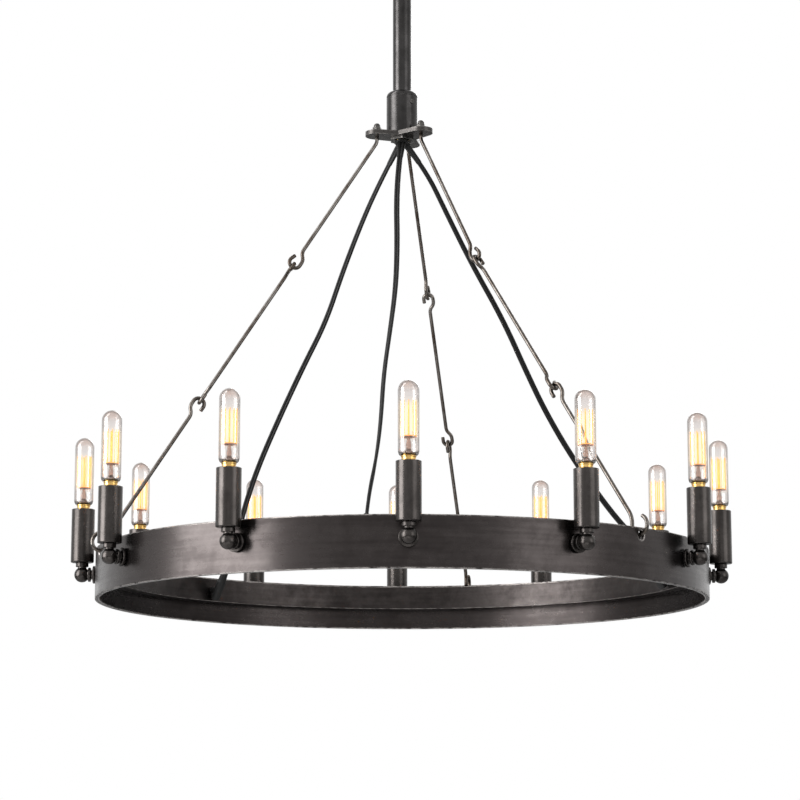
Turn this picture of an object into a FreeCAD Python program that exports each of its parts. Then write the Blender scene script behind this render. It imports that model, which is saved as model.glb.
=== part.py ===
import FreeCAD, Part
import math
import os

# A round iron chandelier that hangs from a ceiling box. A swivel canopy carries a stem, the stem
# carries a three-lobed plate, and three chains of hooked rods carry a flat ring. Twelve upright
# candle lamps stand on ball elbows around the ring, and three cords feed them from the hub.
#
# Millimetres. The origin is on the ceiling in the middle of the box, +Z is up, and the front is -Y.
# Azimuths are in degrees from the front, positive towards +X.

Vector = FreeCAD.Vector
ORIGIN = Vector(0, 0, 0)
UP = Vector(0, 0, 1)
OUTWARD = Vector(1, 0, 0)
SIDEWAYS = Vector(0, 1, 0)

CUT_OVERRUN = 2.0
HALF_TURN = 180.0

# Ceiling fixing
STRAP_END = 7.55
STRAP_WIDTH = 20.0
STRAP_THICKNESS = 2.0
STRAP_WIRE_HOLE_R = 6.0
BOX_SCREW_SPACING = 88.9
BOX_SCREW_HOLE_R = 2.2
STUD_R = 2.0
STUD_SPACING = 70.0
STUD_CLEARANCE = 0.1

# Canopy
CANOPY_R = 63.5
CANOPY_DEPTH = 37.3
CANOPY_WALL = 1.5
CANOPY_SHOULDER_R = 9.0
CANOPY_HOLE_R = 15.6

# Swivel: a ball on the stem that hangs in a seat ring inside the canopy
BALL_R = 18.0
BALL_SEAT_GAP = 0.05
BALL_DROP = 26.0
BALL_FOOT_CUT = 14.5
BALL_WIRE_HOLE_R = 6.0
SEAT_R = 24.0
SEAT_LOW_ANGLE = 57.0
SEAT_HIGH_ANGLE = 82.0

# Stem and the coupling on its lower end
STEM_R = 10.0
STEM_WALL = 1.6
STEM_TOP_BELOW_BALL = 4.0
COUPLING_DROP = 326.0
COUPLING_R = 16.8
COUPLING_HEIGHT = 46.5
COUPLING_SHOULDER_R = 5.5
COUPLING_GROOVE_DROP = 6.0
COUPLING_GROOVE_WIDTH = 0.8
COUPLING_GROOVE_DEPTH = 0.5
STEM_SEAT_DEPTH = 22.0
SET_SCREW_R = 2.5
SET_SCREW_DROP = 13.5
SET_SCREW_HEAD = 1.0
SET_SCREW_AZIMUTH = 38.0

# Hub
NIPPLE_R = 8.0
NIPPLE_WALL = 1.8
NIPPLE_ABOVE_PLATE = 14.0
PLATE_THICKNESS = 4.5
LOBE_R = 12.5
LOBE_PITCH_R = 28.0
WAIST_R = 16.0
HUB_NUT_FLATS = 24.0
HUB_NUT_HEIGHT = 3.0
CAP_NUT_FLATS = 8.5
CAP_NUT_HEX_HEIGHT = 3.2
CAP_NUT_DOME_R = 3.7
CAP_NUT_THREAD_DEPTH = 3.5
PLUG_FLANGE_R = 7.8
PLUG_FLANGE_THICKNESS = 0.8
PLUG_SHANK_LENGTH = 6.0
PLUG_TILT = 40.0
PLUG_EXIT_R = 4.2
PLUG_CUT_REACH = 36.0

# Ring
RING_R = 317.5
RING_THICKNESS = 4.5
RING_HEIGHT = 50.0
RING_DROP = 827.0
CHANNEL_WIDTH = 16.0
CHANNEL_SHEET = 1.2
CHANNEL_TOP_DROP = 3.0
CHANNEL_FLOOR_DROP = 28.2

# Hanging rods
ARM_COUNT = 3
ARM_FIRST_AZIMUTH = -75.0
ROD_ACROSS = 4.0
ROD_SIDES = 8
HOOK_PLAY = 0.5
ARM_BEND_DROP = 7.0
ARM_BEND_R = 12.0
ARM_FOOT_INSET = 10.5
ARM_FOOT_RISE = 12.0
ARM_FOOT_BEND_R = 20.0
UPPER_JOINT_RISE = 302.0
LOWER_JOINT_RISE = 152.0
HOOK_R = 6.0
CROSS_HOOK_R = 5.2
OFFSET_BEND_R = 10.0
HOOK_SHANK = 3.0
HOOK_TIP = 5.0
HOOK_TIP_CURL = 20.0
RING_HOOK_R = 9.0
RING_HOOK_RISE = 2.4
RING_HOOK_TIP_R = 10.0
RING_HOOK_TIP_TURN = 65.0
HOOK_HOLE_R = 4.8
HOOK_HOLE_DROP = 7.6

# How far the right arm's upper joint hangs off the straight line, as its upper rod is bent by hand
SWAY_IN = 6.3
SWAY_ASIDE = 6.3
SWAY_DROP = 4.1

# Lamps
LAMP_COUNT = 12
LAMP_STANDOFF = 15.5
ELBOW_BALL_R = 7.2
ELBOW_NECK_R = 4.5
ELBOW_THREAD_R = 4.0
ELBOW_DROP = 21.8
CHECK_RING_R = 6.6
CHECK_RING_HEIGHT = 4.5
CUP_RISE = 12.6
CUP_R = 12.0
CUP_HEIGHT = 55.8
CUP_WALL = 1.2
CUP_FLOOR = 2.0
INNER_COLLAR_R = 7.4
INNER_COLLAR_START = 6.6
INNER_COLLAR_LENGTH = 2.5
FLANGE_R = 8.2
FLANGE_LENGTH = 4.0
SOCKET_FLATS = 19.4
SOCKET_SIDES = 8
SOCKET_BELOW_RIM = 2.2
BASE_R = 6.2
BASE_LENGTH = 22.0
BASE_TIP_R = 3.0
BASE_TIP_HEIGHT = 3.0
BASE_ABOVE_RIM = 5.0
BASE_FIT = 0.05
GLASS_R = 10.0
GLASS_WALL = 0.8
GLASS_FLOOR = 1.2
GLASS_FLARE_HEIGHT = 5.4
GLASS_HEIGHT = 70.6
FILAMENT_COUNT = 10
FILAMENT_R = 7.0
FILAMENT_WIDTH = 0.7
FILAMENT_DEPTH = 0.7
FILAMENT_LENGTH = 33.3
PINCH_WIDTH = 6.0
PINCH_DEPTH = 2.4
PINCH_HEIGHT = 15.5
BRIDGE_FLATS = 14.6
BRIDGE_THICKNESS = 0.8

# Cords and their glands on the wire channel
CORD_R = 2.5
CORD_SIDES = 8
CORD_TURN_SHARE = 0.45
CORD_FIRST_RUN = 35.0
CORD_LAST_RUN = 32.0
CORD_TOP_GAP = 0.3
GLAND_R = 5.0
GLAND_LENGTH = 24.0
GLAND_TILT = 30.0
GLAND_STANDOFF = 10.7
GLAND_DROP = 16.0
GLAND_BOSS_R = 3.5
GLAND_BOSS_REACH = 2.0

# Each cord's azimuth at both ends, and the points between as azimuth, radius and rise above the ring
CORD_END_AZIMUTHS = {"cord_left": -135.0, "cord_middle": -8.0, "cord_right": 105.0}
CORD_POINTS = {
    "cord_left": [
        (-135.0, 56.0, 376.0), (-135.0, 90.0, 318.0), (-135.6, 117.0, 266.0), (-135.6, 153.0, 221.0),
        (-135.0, 189.0, 168.0), (-134.6, 222.0, 115.0), (-135.0, 244.0, 74.0),
    ],
    "cord_middle": [
        (-7.0, 57.0, 368.0), (-4.3, 88.0, 312.0), (-4.2, 115.0, 260.0), (-5.7, 150.0, 206.0),
        (-7.0, 176.0, 157.0), (-6.6, 212.0, 104.0), (-6.8, 246.0, 62.0),
    ],
    "cord_right": [
        (105.0, 50.0, 370.0), (105.0, 78.0, 316.0), (104.6, 112.0, 258.0), (104.6, 139.0, 200.0),
        (105.0, 161.0, 157.0), (105.4, 192.0, 108.0), (105.2, 236.0, 50.0),
    ],
}

# Levels that follow from the sizes above
STRAP_LENGTH = BOX_SCREW_SPACING + 2 * STRAP_END
RING_TOP = -RING_DROP
BALL_Z = -BALL_DROP
COUPLING_TOP = -COUPLING_DROP
PLATE_TOP = COUPLING_TOP - COUPLING_HEIGHT
PLATE_UNDERSIDE = PLATE_TOP - PLATE_THICKNESS
RING_INNER_R = RING_R - RING_THICKNESS
CHANNEL_INNER_R = RING_INNER_R - CHANNEL_WIDTH
ARM_FOOT_R = RING_R - ARM_FOOT_INSET
LAMP_R = RING_R + LAMP_STANDOFF
ELBOW_Z = RING_TOP - ELBOW_DROP
CUP_BOTTOM = ELBOW_Z + CUP_RISE
CUP_TOP = CUP_BOTTOM + CUP_HEIGHT
BASE_TOP = CUP_TOP + BASE_ABOVE_RIM
BASE_BOTTOM = BASE_TOP - BASE_LENGTH


def at_azimuth(shape, azimuth):
    """A shape built towards +X, turned about the hanging axis to an azimuth."""
    placed = shape.copy()
    placed.rotate(ORIGIN, UP, azimuth - 90.0)
    return placed


def point_at(azimuth, radius, height):
    """The point at an azimuth, a distance from the hanging axis and a height."""
    angle = math.radians(azimuth)
    return Vector(radius * math.sin(angle), -radius * math.cos(angle), height)


def arm_azimuths():
    return [ARM_FIRST_AZIMUTH + 360.0 * index / ARM_COUNT for index in range(ARM_COUNT)]


def lamp_azimuths():
    return [360.0 * index / LAMP_COUNT for index in range(LAMP_COUNT)]


def ring_of(shape, azimuths):
    """One compound with a copy of the shape at each azimuth."""
    return Part.makeCompound([at_azimuth(shape, azimuth) for azimuth in azimuths])


def turned(outline):
    """A solid of revolution about the hanging axis from an outline of radii and heights."""
    points = [Vector(radius, 0, height) for radius, height in outline]
    face = Part.Face(Part.makePolygon(points + points[:1]))
    return face.revolve(ORIGIN, UP, 360)


def cylinder(radius, bottom, top, x=0.0, y=0.0):
    return Part.makeCylinder(radius, top - bottom, Vector(x, y, bottom), UP)


def tube(inner, outer, bottom, top):
    return turned([(inner, bottom), (outer, bottom), (outer, top), (inner, top)])


def polygon_face(centre, normal, start, sides):
    """A regular polygon with its first corner at centre + start, square to the normal."""
    corners = []
    for index in range(sides):
        spin = FreeCAD.Rotation(normal, 360.0 * index / sides)
        corners.append(centre + spin.multVec(start))
    return Part.Face(Part.makePolygon(corners + corners[:1]))


def prism(across_flats, sides, bottom, top, x=0.0, y=0.0):
    """An upright prism with flat sides, given its size across the flats."""
    half_side = HALF_TURN / sides
    corner_r = across_flats / 2 / math.cos(math.radians(half_side))
    start = FreeCAD.Rotation(UP, half_side).multVec(Vector(corner_r, 0, 0))
    return polygon_face(Vector(x, y, bottom), UP, start, sides).extrude(Vector(0, 0, top - bottom))


class Rod:
    """A flat-sided rod laid down in one plane, as straight runs and bends from its start."""

    def __init__(self, start, heading, plane_normal, across_flats, sides):
        self.place = start
        self.heading = heading
        self.normal = plane_normal
        half_side = HALF_TURN / sides
        corner_r = across_flats / 2 / math.cos(math.radians(half_side))
        corner = FreeCAD.Rotation(heading, half_side).multVec(plane_normal * corner_r)
        self.section = polygon_face(start, heading, corner, sides)
        self.area = self.section.Area
        self.length = 0.0
        self.pieces = []

    def run(self, length):
        """Goes straight on."""
        step = self.heading * length
        self.pieces.append(self.section.extrude(step))
        self.section.translate(step)
        self.place = self.place + step
        self.length += length

    def bend(self, degrees, radius):
        """Turns right-handed about the plane's normal, or the other way for a negative angle."""
        side = self.normal.cross(self.heading)
        axis = self.normal
        if degrees < 0:
            side = side * -1.0
            axis = axis * -1.0
        centre = self.place + side * radius
        angle = abs(degrees)
        self.pieces.append(self.section.revolve(centre, axis, angle))
        self.section.rotate(centre, axis, angle)
        turn = FreeCAD.Rotation(axis, angle)
        self.place = centre + turn.multVec(self.place - centre)
        self.heading = turn.multVec(self.heading)
        self.length += math.radians(angle) * radius

    def turn_plane(self, plane_normal):
        """Goes on in another plane that holds the present heading."""
        self.normal = plane_normal

    def solid(self):
        joined = self.pieces[0].multiFuse(self.pieces[1:])
        return joined.removeSplitter()


def ceiling_bracket():
    """The strap that is screwed to the ceiling box."""
    strap = Part.makeBox(STRAP_LENGTH, STRAP_WIDTH, STRAP_THICKNESS,
                         Vector(-STRAP_LENGTH / 2, -STRAP_WIDTH / 2, -STRAP_THICKNESS))
    low = -STRAP_THICKNESS - CUT_OVERRUN
    strap = strap.cut(cylinder(STRAP_WIRE_HOLE_R, low, CUT_OVERRUN))
    for side in (-1, 1):
        strap = strap.cut(cylinder(BOX_SCREW_HOLE_R, low, CUT_OVERRUN, side * BOX_SCREW_SPACING / 2))
    return strap


def canopy_studs():
    """Two studs that hang from the strap and carry the canopy."""
    low = -CANOPY_DEPTH - CAP_NUT_THREAD_DEPTH
    return Part.makeCompound([cylinder(STUD_R, low, -STRAP_THICKNESS, side * STUD_SPACING / 2)
                              for side in (-1, 1)])


def canopy():
    """A shallow turned cup with a rounded shoulder and a hole that the ball hangs in."""
    def cup(radius, depth, shoulder):
        box = cylinder(radius, -depth, 0)
        rims = [edge for edge in box.Edges if edge.BoundBox.ZMax < -depth / 2 and edge.Closed]
        return box.makeFillet(shoulder, rims)

    shell = cup(CANOPY_R, CANOPY_DEPTH, CANOPY_SHOULDER_R)
    hollow = cup(CANOPY_R - CANOPY_WALL, CANOPY_DEPTH - CANOPY_WALL, CANOPY_SHOULDER_R - CANOPY_WALL)
    shell = shell.cut(hollow)
    low = -CANOPY_DEPTH - CUT_OVERRUN
    shell = shell.cut(cylinder(CANOPY_HOLE_R, low, 0))
    for side in (-1, 1):
        hole = cylinder(STUD_R + STUD_CLEARANCE, low, -CANOPY_DEPTH / 2, side * STUD_SPACING / 2)
        shell = shell.cut(hole)
    return shell


def cap_nut():
    """A domed nut that stands on the origin with its blind thread from below."""
    body = prism(CAP_NUT_FLATS, 6, 0, CAP_NUT_HEX_HEIGHT)
    dome = Part.makeSphere(CAP_NUT_DOME_R, Vector(0, 0, CAP_NUT_HEX_HEIGHT), UP, 0, 90, 360)
    return body.fuse(dome).cut(cylinder(ROD_ACROSS / 2, 0, CAP_NUT_THREAD_DEPTH))


def canopy_cap_nuts():
    nuts = []
    for side in (-1, 1):
        nut = cap_nut()
        nut.rotate(ORIGIN, OUTWARD, HALF_TURN)
        nut.translate(Vector(side * STUD_SPACING / 2, 0, -CANOPY_DEPTH))
        nuts.append(nut)
    return Part.makeCompound(nuts)


def swivel_seat():
    """A ring on the canopy's floor whose bore is a zone of the ball."""
    floor = -CANOPY_DEPTH + CANOPY_WALL
    zone_r = BALL_R + BALL_SEAT_GAP
    top = BALL_Z - zone_r * math.cos(math.radians(SEAT_HIGH_ANGLE))
    ring = cylinder(SEAT_R, floor, top)
    bore_r = zone_r * math.sin(math.radians(SEAT_LOW_ANGLE))
    ring = ring.cut(cylinder(bore_r, floor - CUT_OVERRUN, top + CUT_OVERRUN))
    return ring.cut(Part.makeSphere(zone_r, Vector(0, 0, BALL_Z)))


def swivel_ball():
    """The ball on the stem's upper end, bored for the stem and the wires."""
    ball = Part.makeSphere(BALL_R, Vector(0, 0, BALL_Z))
    foot = BALL_Z - BALL_FOOT_CUT
    ball = ball.cut(cylinder(BALL_R, foot - BALL_R, foot))
    ball = ball.cut(cylinder(STEM_R, foot - CUT_OVERRUN, BALL_Z - STEM_TOP_BELOW_BALL))
    return ball.cut(cylinder(BALL_WIRE_HOLE_R, BALL_Z - BALL_R, BALL_Z + BALL_R))


def stem():
    return tube(STEM_R - STEM_WALL, STEM_R, COUPLING_TOP - STEM_SEAT_DEPTH, BALL_Z - STEM_TOP_BELOW_BALL)


def coupling():
    """The turned sleeve that joins the stem to the hub's nipple."""
    shoulder_z = COUPLING_TOP - COUPLING_SHOULDER_R
    groove_z = COUPLING_TOP - COUPLING_GROOVE_DROP
    body = cylinder(COUPLING_R, PLATE_TOP, COUPLING_TOP)
    rims = [edge for edge in body.Edges if edge.BoundBox.ZMin > shoulder_z and edge.Closed]
    body = body.makeFillet(COUPLING_SHOULDER_R, rims)
    groove = tube(COUPLING_R - COUPLING_GROOVE_DEPTH, COUPLING_R + CUT_OVERRUN,
                  groove_z - COUPLING_GROOVE_WIDTH, groove_z)
    body = body.cut(groove)
    stem_foot = COUPLING_TOP - STEM_SEAT_DEPTH
    body = body.cut(cylinder(STEM_R, stem_foot, COUPLING_TOP + CUT_OVERRUN))
    body = body.cut(cylinder(NIPPLE_R, PLATE_TOP - CUT_OVERRUN, PLATE_TOP + NIPPLE_ABOVE_PLATE))
    body = body.cut(cylinder(NIPPLE_R - NIPPLE_WALL, PLATE_TOP, stem_foot + CUT_OVERRUN))
    return body.cut(set_screw_cylinder(STEM_R - CUT_OVERRUN, COUPLING_R + CUT_OVERRUN))


def set_screw_cylinder(start, end):
    """A round bar along the set screw's axis, between two distances from the stem's axis."""
    place = Vector(start, 0, COUPLING_TOP - SET_SCREW_DROP)
    return at_azimuth(Part.makeCylinder(SET_SCREW_R, end - start, place, OUTWARD), SET_SCREW_AZIMUTH)


def coupling_set_screw():
    return set_screw_cylinder(STEM_R, COUPLING_R + SET_SCREW_HEAD).cut(cylinder(
        STEM_R, PLATE_TOP, COUPLING_TOP))


def nipple_foot():
    return PLATE_UNDERSIDE - HUB_NUT_HEIGHT


def hub_nipple():
    return tube(NIPPLE_R - NIPPLE_WALL, NIPPLE_R, nipple_foot(), PLATE_TOP + NIPPLE_ABOVE_PLATE)


def hub_nut():
    nut = prism(HUB_NUT_FLATS, 6, nipple_foot(), PLATE_UNDERSIDE)
    return nut.cut(cylinder(NIPPLE_R, nipple_foot() - CUT_OVERRUN, PLATE_UNDERSIDE + CUT_OVERRUN))


def hub_plate():
    """A flat plate with a round lobe for each arm and a sharp waist between the lobes."""
    def tangent_point(waist, centre, turn):
        reach = waist - centre
        swing = math.degrees(math.acos(LOBE_R / reach.Length))
        spin = FreeCAD.Rotation(UP, turn * swing)
        return centre + spin.multVec(reach * (LOBE_R / reach.Length))

    edges = []
    half_pitch = HALF_TURN / ARM_COUNT
    for azimuth in arm_azimuths():
        before = point_at(azimuth - half_pitch, WAIST_R, PLATE_UNDERSIDE)
        after = point_at(azimuth + half_pitch, WAIST_R, PLATE_UNDERSIDE)
        centre = point_at(azimuth, LOBE_PITCH_R, PLATE_UNDERSIDE)
        crown = point_at(azimuth, LOBE_PITCH_R + LOBE_R, PLATE_UNDERSIDE)
        start = tangent_point(before, centre, 1)
        end = tangent_point(after, centre, -1)
        edges.append(Part.LineSegment(before, start).toShape())
        edges.append(Part.Arc(start, crown, end).toShape())
        edges.append(Part.LineSegment(end, after).toShape())
    plate = Part.Face(Part.Wire(edges)).extrude(Vector(0, 0, PLATE_THICKNESS))
    low = PLATE_UNDERSIDE - CUT_OVERRUN
    high = PLATE_TOP + CUT_OVERRUN
    plate = plate.cut(cylinder(NIPPLE_R, low, high))
    for azimuth in arm_azimuths():
        centre = point_at(azimuth, LOBE_PITCH_R, 0)
        plate = plate.cut(cylinder(ROD_ACROSS / 2, low, high, centre.x, centre.y))
    return plate


def hub_cap_nuts():
    nut = cap_nut()
    nut.translate(Vector(LOBE_PITCH_R, 0, PLATE_TOP))
    return ring_of(nut, arm_azimuths())


def plug_apex():
    return nipple_foot() - PLUG_FLANGE_THICKNESS - PLUG_FLANGE_R * math.tan(math.radians(PLUG_TILT))


def cord_plug():
    """The bushing under the hub, with one slanted face for each cord."""
    flange_top = nipple_foot()
    body = cylinder(PLUG_FLANGE_R, plug_apex(), flange_top)
    for azimuth in CORD_END_AZIMUTHS.values():
        block = Part.makeBox(2 * PLUG_CUT_REACH, 2 * PLUG_CUT_REACH, PLUG_CUT_REACH,
                             Vector(-PLUG_CUT_REACH, -PLUG_CUT_REACH, -PLUG_CUT_REACH))
        block.rotate(ORIGIN, SIDEWAYS, -PLUG_TILT)
        block.translate(Vector(0, 0, plug_apex()))
        body = body.cut(at_azimuth(block, azimuth))
    shank = cylinder(NIPPLE_R - NIPPLE_WALL, flange_top, flange_top + PLUG_SHANK_LENGTH)
    return body.fuse(shank)


def ring_band():
    """The flat hoop, tapped for the lamps and pierced for the hooks."""
    band = tube(RING_INNER_R, RING_R, RING_TOP - RING_HEIGHT, RING_TOP)
    inside = RING_INNER_R - CUT_OVERRUN
    reach = RING_THICKNESS + 2 * CUT_OVERRUN
    lamp_hole = Part.makeCylinder(ELBOW_THREAD_R, reach, Vector(inside, 0, ELBOW_Z), OUTWARD)
    hook_hole = Part.makeCylinder(HOOK_HOLE_R, reach, Vector(inside, 0, RING_TOP - HOOK_HOLE_DROP), OUTWARD)
    holes = [at_azimuth(lamp_hole, azimuth) for azimuth in lamp_azimuths()]
    holes += [at_azimuth(hook_hole, azimuth) for azimuth in arm_azimuths()]
    return band.cut(holes)


def wire_channel():
    """The angle welded inside the band, whose upright wall hides the wires."""
    floor_low = RING_TOP - CHANNEL_FLOOR_DROP
    floor_high = floor_low + CHANNEL_SHEET
    wall_top = RING_TOP - CHANNEL_TOP_DROP
    wall_r = CHANNEL_INNER_R + CHANNEL_SHEET
    angle = turned([(CHANNEL_INNER_R, floor_low), (RING_INNER_R, floor_low), (RING_INNER_R, floor_high),
                    (wall_r, floor_high), (wall_r, wall_top), (CHANNEL_INNER_R, wall_top)])
    hole = Part.makeCylinder(GLAND_BOSS_R, 2 * CUT_OVERRUN + CHANNEL_SHEET,
                             Vector(CHANNEL_INNER_R - CUT_OVERRUN, 0, RING_TOP - GLAND_DROP), OUTWARD)
    return angle.cut([at_azimuth(hole, azimuth) for azimuth in CORD_END_AZIMUTHS.values()])


def gland_axis():
    """The gland's middle and its upward direction, in the radial plane."""
    middle = Vector(CHANNEL_INNER_R - GLAND_STANDOFF, 0, RING_TOP - GLAND_DROP)
    tilt = math.radians(GLAND_TILT)
    return middle, Vector(-math.sin(tilt), 0, math.cos(tilt))


def cord_glands():
    """The black strain reliefs that take the cords through the channel's wall."""
    middle, upward = gland_axis()
    body = Part.makeCylinder(GLAND_R, GLAND_LENGTH, middle - upward * (GLAND_LENGTH / 2), upward)
    reach = GLAND_STANDOFF + CHANNEL_SHEET + GLAND_BOSS_REACH
    boss = Part.makeCylinder(GLAND_BOSS_R, reach, middle, OUTWARD)
    return ring_of(body.fuse(boss), CORD_END_AZIMUTHS.values())


def cord_route(name):
    """The corner points of a cord, from its plug to its gland."""
    azimuth = CORD_END_AZIMUTHS[name]
    tilt = math.radians(PLUG_TILT)
    run_out = math.sin(tilt)
    run_down = math.cos(tilt)
    exit_z = plug_apex() + PLUG_EXIT_R * math.tan(tilt)
    route = [point_at(azimuth, PLUG_EXIT_R + CORD_TOP_GAP * run_out, exit_z - CORD_TOP_GAP * run_down)]
    route.append(point_at(azimuth, PLUG_EXIT_R + CORD_FIRST_RUN * run_out,
                          exit_z - CORD_FIRST_RUN * run_down))
    route += [point_at(turn, radius, RING_TOP + rise) for turn, radius, rise in CORD_POINTS[name]]
    middle, upward = gland_axis()
    for distance in (CORD_LAST_RUN, 0.0):
        place = middle + upward * (GLAND_LENGTH / 2 + distance)
        route.append(point_at(azimuth, place.x, place.z))
    return route


def cord(name):
    """A cord as straight runs joined by tangent arcs, with its radii and its volume printed."""
    route = cord_route(name)
    first = (route[1] - route[0]).normalize()
    line = Rod(route[0], first, level_normal(first), 2 * CORD_R, CORD_SIDES)
    radii = []
    spent = 0.0
    for index in range(1, len(route) - 1):
        before = route[index] - route[index - 1]
        after = route[index + 1] - route[index]
        turn = before.getAngle(after)
        tangent = CORD_TURN_SHARE * min(before.Length, after.Length)
        radius = tangent / math.tan(turn / 2)
        line.run(before.Length - spent - tangent)
        line.turn_plane(before.cross(after).normalize())
        line.bend(math.degrees(turn), radius)
        radii.append(round(radius))
        spent = tangent
    line.run((route[-1] - route[-2]).Length - spent)
    tube_solid = line.solid()
    share = tube_solid.Volume / (line.area * line.length)
    print(name, "arc radii", radii, "length", round(line.length), "volume share", round(share, 4))
    return tube_solid


def level_normal(heading):
    """A level direction that is square to a heading."""
    return heading.cross(UP).normalize()


def arm_line():
    """The straight line that an arm hangs along: its two ends and its direction."""
    top = Vector(LOBE_PITCH_R, 0, PLATE_UNDERSIDE - ARM_BEND_DROP)
    foot = Vector(ARM_FOOT_R, 0, RING_TOP + ARM_FOOT_RISE)
    return top, foot, (foot - top).normalize()


def arm_lean():
    """The arm's angle from upright, in degrees."""
    along = arm_line()[2]
    return math.degrees(math.atan2(along.x, -along.z))


def joint_reach(rise):
    """How far along the arm's line the joint at a height above the ring lies."""
    top, _, along = arm_line()
    return (top.z - (RING_TOP + rise)) / -along.z


def offset_turn(hook_r):
    """The turn of the double bend that sets a shank off by its hook's radius, and its length."""
    turn = math.acos(1 - hook_r / (2 * OFFSET_BEND_R))
    return math.degrees(turn), 2 * OFFSET_BEND_R * math.sin(turn)


def hook_seat():
    """Half the distance between the middles of two rods that bear on each other."""
    return (ROD_ACROSS + HOOK_PLAY) / 2


def swayed_joint():
    """Where the right arm's upper joint hangs, in a frame with the arm towards +X."""
    top, _, along = arm_line()
    return top + along * joint_reach(UPPER_JOINT_RISE) + Vector(-SWAY_IN, -SWAY_ASIDE, -SWAY_DROP)


def swayed_upper_link():
    """The right arm's upper rod, which leans and turns a little off the others."""
    top = arm_line()[0]
    reach = swayed_joint() - top
    level = math.hypot(reach.x, reach.y)
    link = upper_link(math.degrees(math.atan2(level, -reach.z)), reach.Length)
    link.rotate(top, UP, math.degrees(math.atan2(reach.y, reach.x)))
    return link


def swayed(link):
    """A lower rod of the right arm, turned about its hole in the band to hang from the swayed joint."""
    top, _, along = arm_line()
    hole = Vector(RING_R - RING_THICKNESS / 2, 0, RING_TOP - HOOK_HOLE_DROP)
    straight = top + along * joint_reach(UPPER_JOINT_RISE)
    turn = FreeCAD.Rotation(straight - hole, swayed_joint() - hole)
    placed = link.copy()
    placed.rotate(hole, turn.Axis, math.degrees(turn.Angle))
    return placed


def upper_link(lean, joint):
    """From the hub's nut down to the first joint, at a lean, with an open hook in the radial plane."""
    corner = ARM_BEND_R * math.tan(math.radians(lean / 2))
    thread = cylinder(ROD_ACROSS / 2, PLATE_UNDERSIDE, PLATE_TOP + CAP_NUT_THREAD_DEPTH, LOBE_PITCH_R)
    rod = Rod(Vector(LOBE_PITCH_R, 0, PLATE_UNDERSIDE), UP * -1.0, SIDEWAYS, ROD_ACROSS, ROD_SIDES)
    rod.run(ARM_BEND_DROP - corner)
    rod.bend(-lean, ARM_BEND_R)
    turn, turn_length = offset_turn(HOOK_R)
    centre = joint + hook_seat() - HOOK_R
    rod.run(centre - HOOK_SHANK - turn_length - corner)
    rod.bend(turn, OFFSET_BEND_R)
    rod.bend(-turn, OFFSET_BEND_R)
    rod.run(HOOK_SHANK)
    rod.bend(-HALF_TURN - HOOK_TIP_CURL, HOOK_R)
    rod.run(HOOK_TIP)
    return rod.solid().fuse(thread)


def middle_link():
    """Between the two joints, with both hooks across the arm."""
    top, _, along = arm_line()
    across = along.cross(SIDEWAYS)
    turn, turn_length = offset_turn(CROSS_HOOK_R)
    upper = joint_reach(UPPER_JOINT_RISE) - hook_seat() + CROSS_HOOK_R
    lower = joint_reach(LOWER_JOINT_RISE) + hook_seat() - CROSS_HOOK_R
    tip = top + along * (upper + HOOK_TIP) + SIDEWAYS * CROSS_HOOK_R
    rod = Rod(tip, along * -1.0, across, ROD_ACROSS, ROD_SIDES)
    rod.run(HOOK_TIP)
    rod.bend(HALF_TURN, CROSS_HOOK_R)
    rod.run(HOOK_SHANK)
    rod.bend(turn, OFFSET_BEND_R)
    rod.bend(-turn, OFFSET_BEND_R)
    rod.run(lower - upper - 2 * (HOOK_SHANK + turn_length))
    rod.bend(-turn, OFFSET_BEND_R)
    rod.bend(turn, OFFSET_BEND_R)
    rod.run(HOOK_SHANK)
    rod.bend(HALF_TURN, CROSS_HOOK_R)
    rod.run(HOOK_TIP)
    return rod.solid()


def lower_link():
    """From the second joint to the ring, ending in the hook that goes through the band."""
    top, foot, along = arm_line()
    outward = along.cross(SIDEWAYS)
    lean = arm_lean()
    turn, turn_length = offset_turn(HOOK_R)
    centre = joint_reach(LOWER_JOINT_RISE) - hook_seat() + HOOK_R
    corner = ARM_FOOT_BEND_R * math.tan(math.radians(lean / 2))
    tip = top + along * (centre + HOOK_TIP) - outward * HOOK_R
    rod = Rod(tip, along * -1.0, SIDEWAYS, ROD_ACROSS, ROD_SIDES)
    rod.run(HOOK_TIP)
    rod.bend(HALF_TURN, HOOK_R)
    rod.run(HOOK_SHANK)
    rod.bend(turn, OFFSET_BEND_R)
    rod.bend(-turn, OFFSET_BEND_R)
    rod.run((foot - top).Length - centre - HOOK_SHANK - turn_length - corner)
    rod.bend(lean, ARM_FOOT_BEND_R)
    rod.run(ARM_FOOT_RISE - corner - RING_HOOK_RISE)
    rod.bend(-HALF_TURN, RING_HOOK_R)
    rod.bend(-RING_HOOK_TIP_TURN, RING_HOOK_TIP_R)
    return rod.solid()


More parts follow.
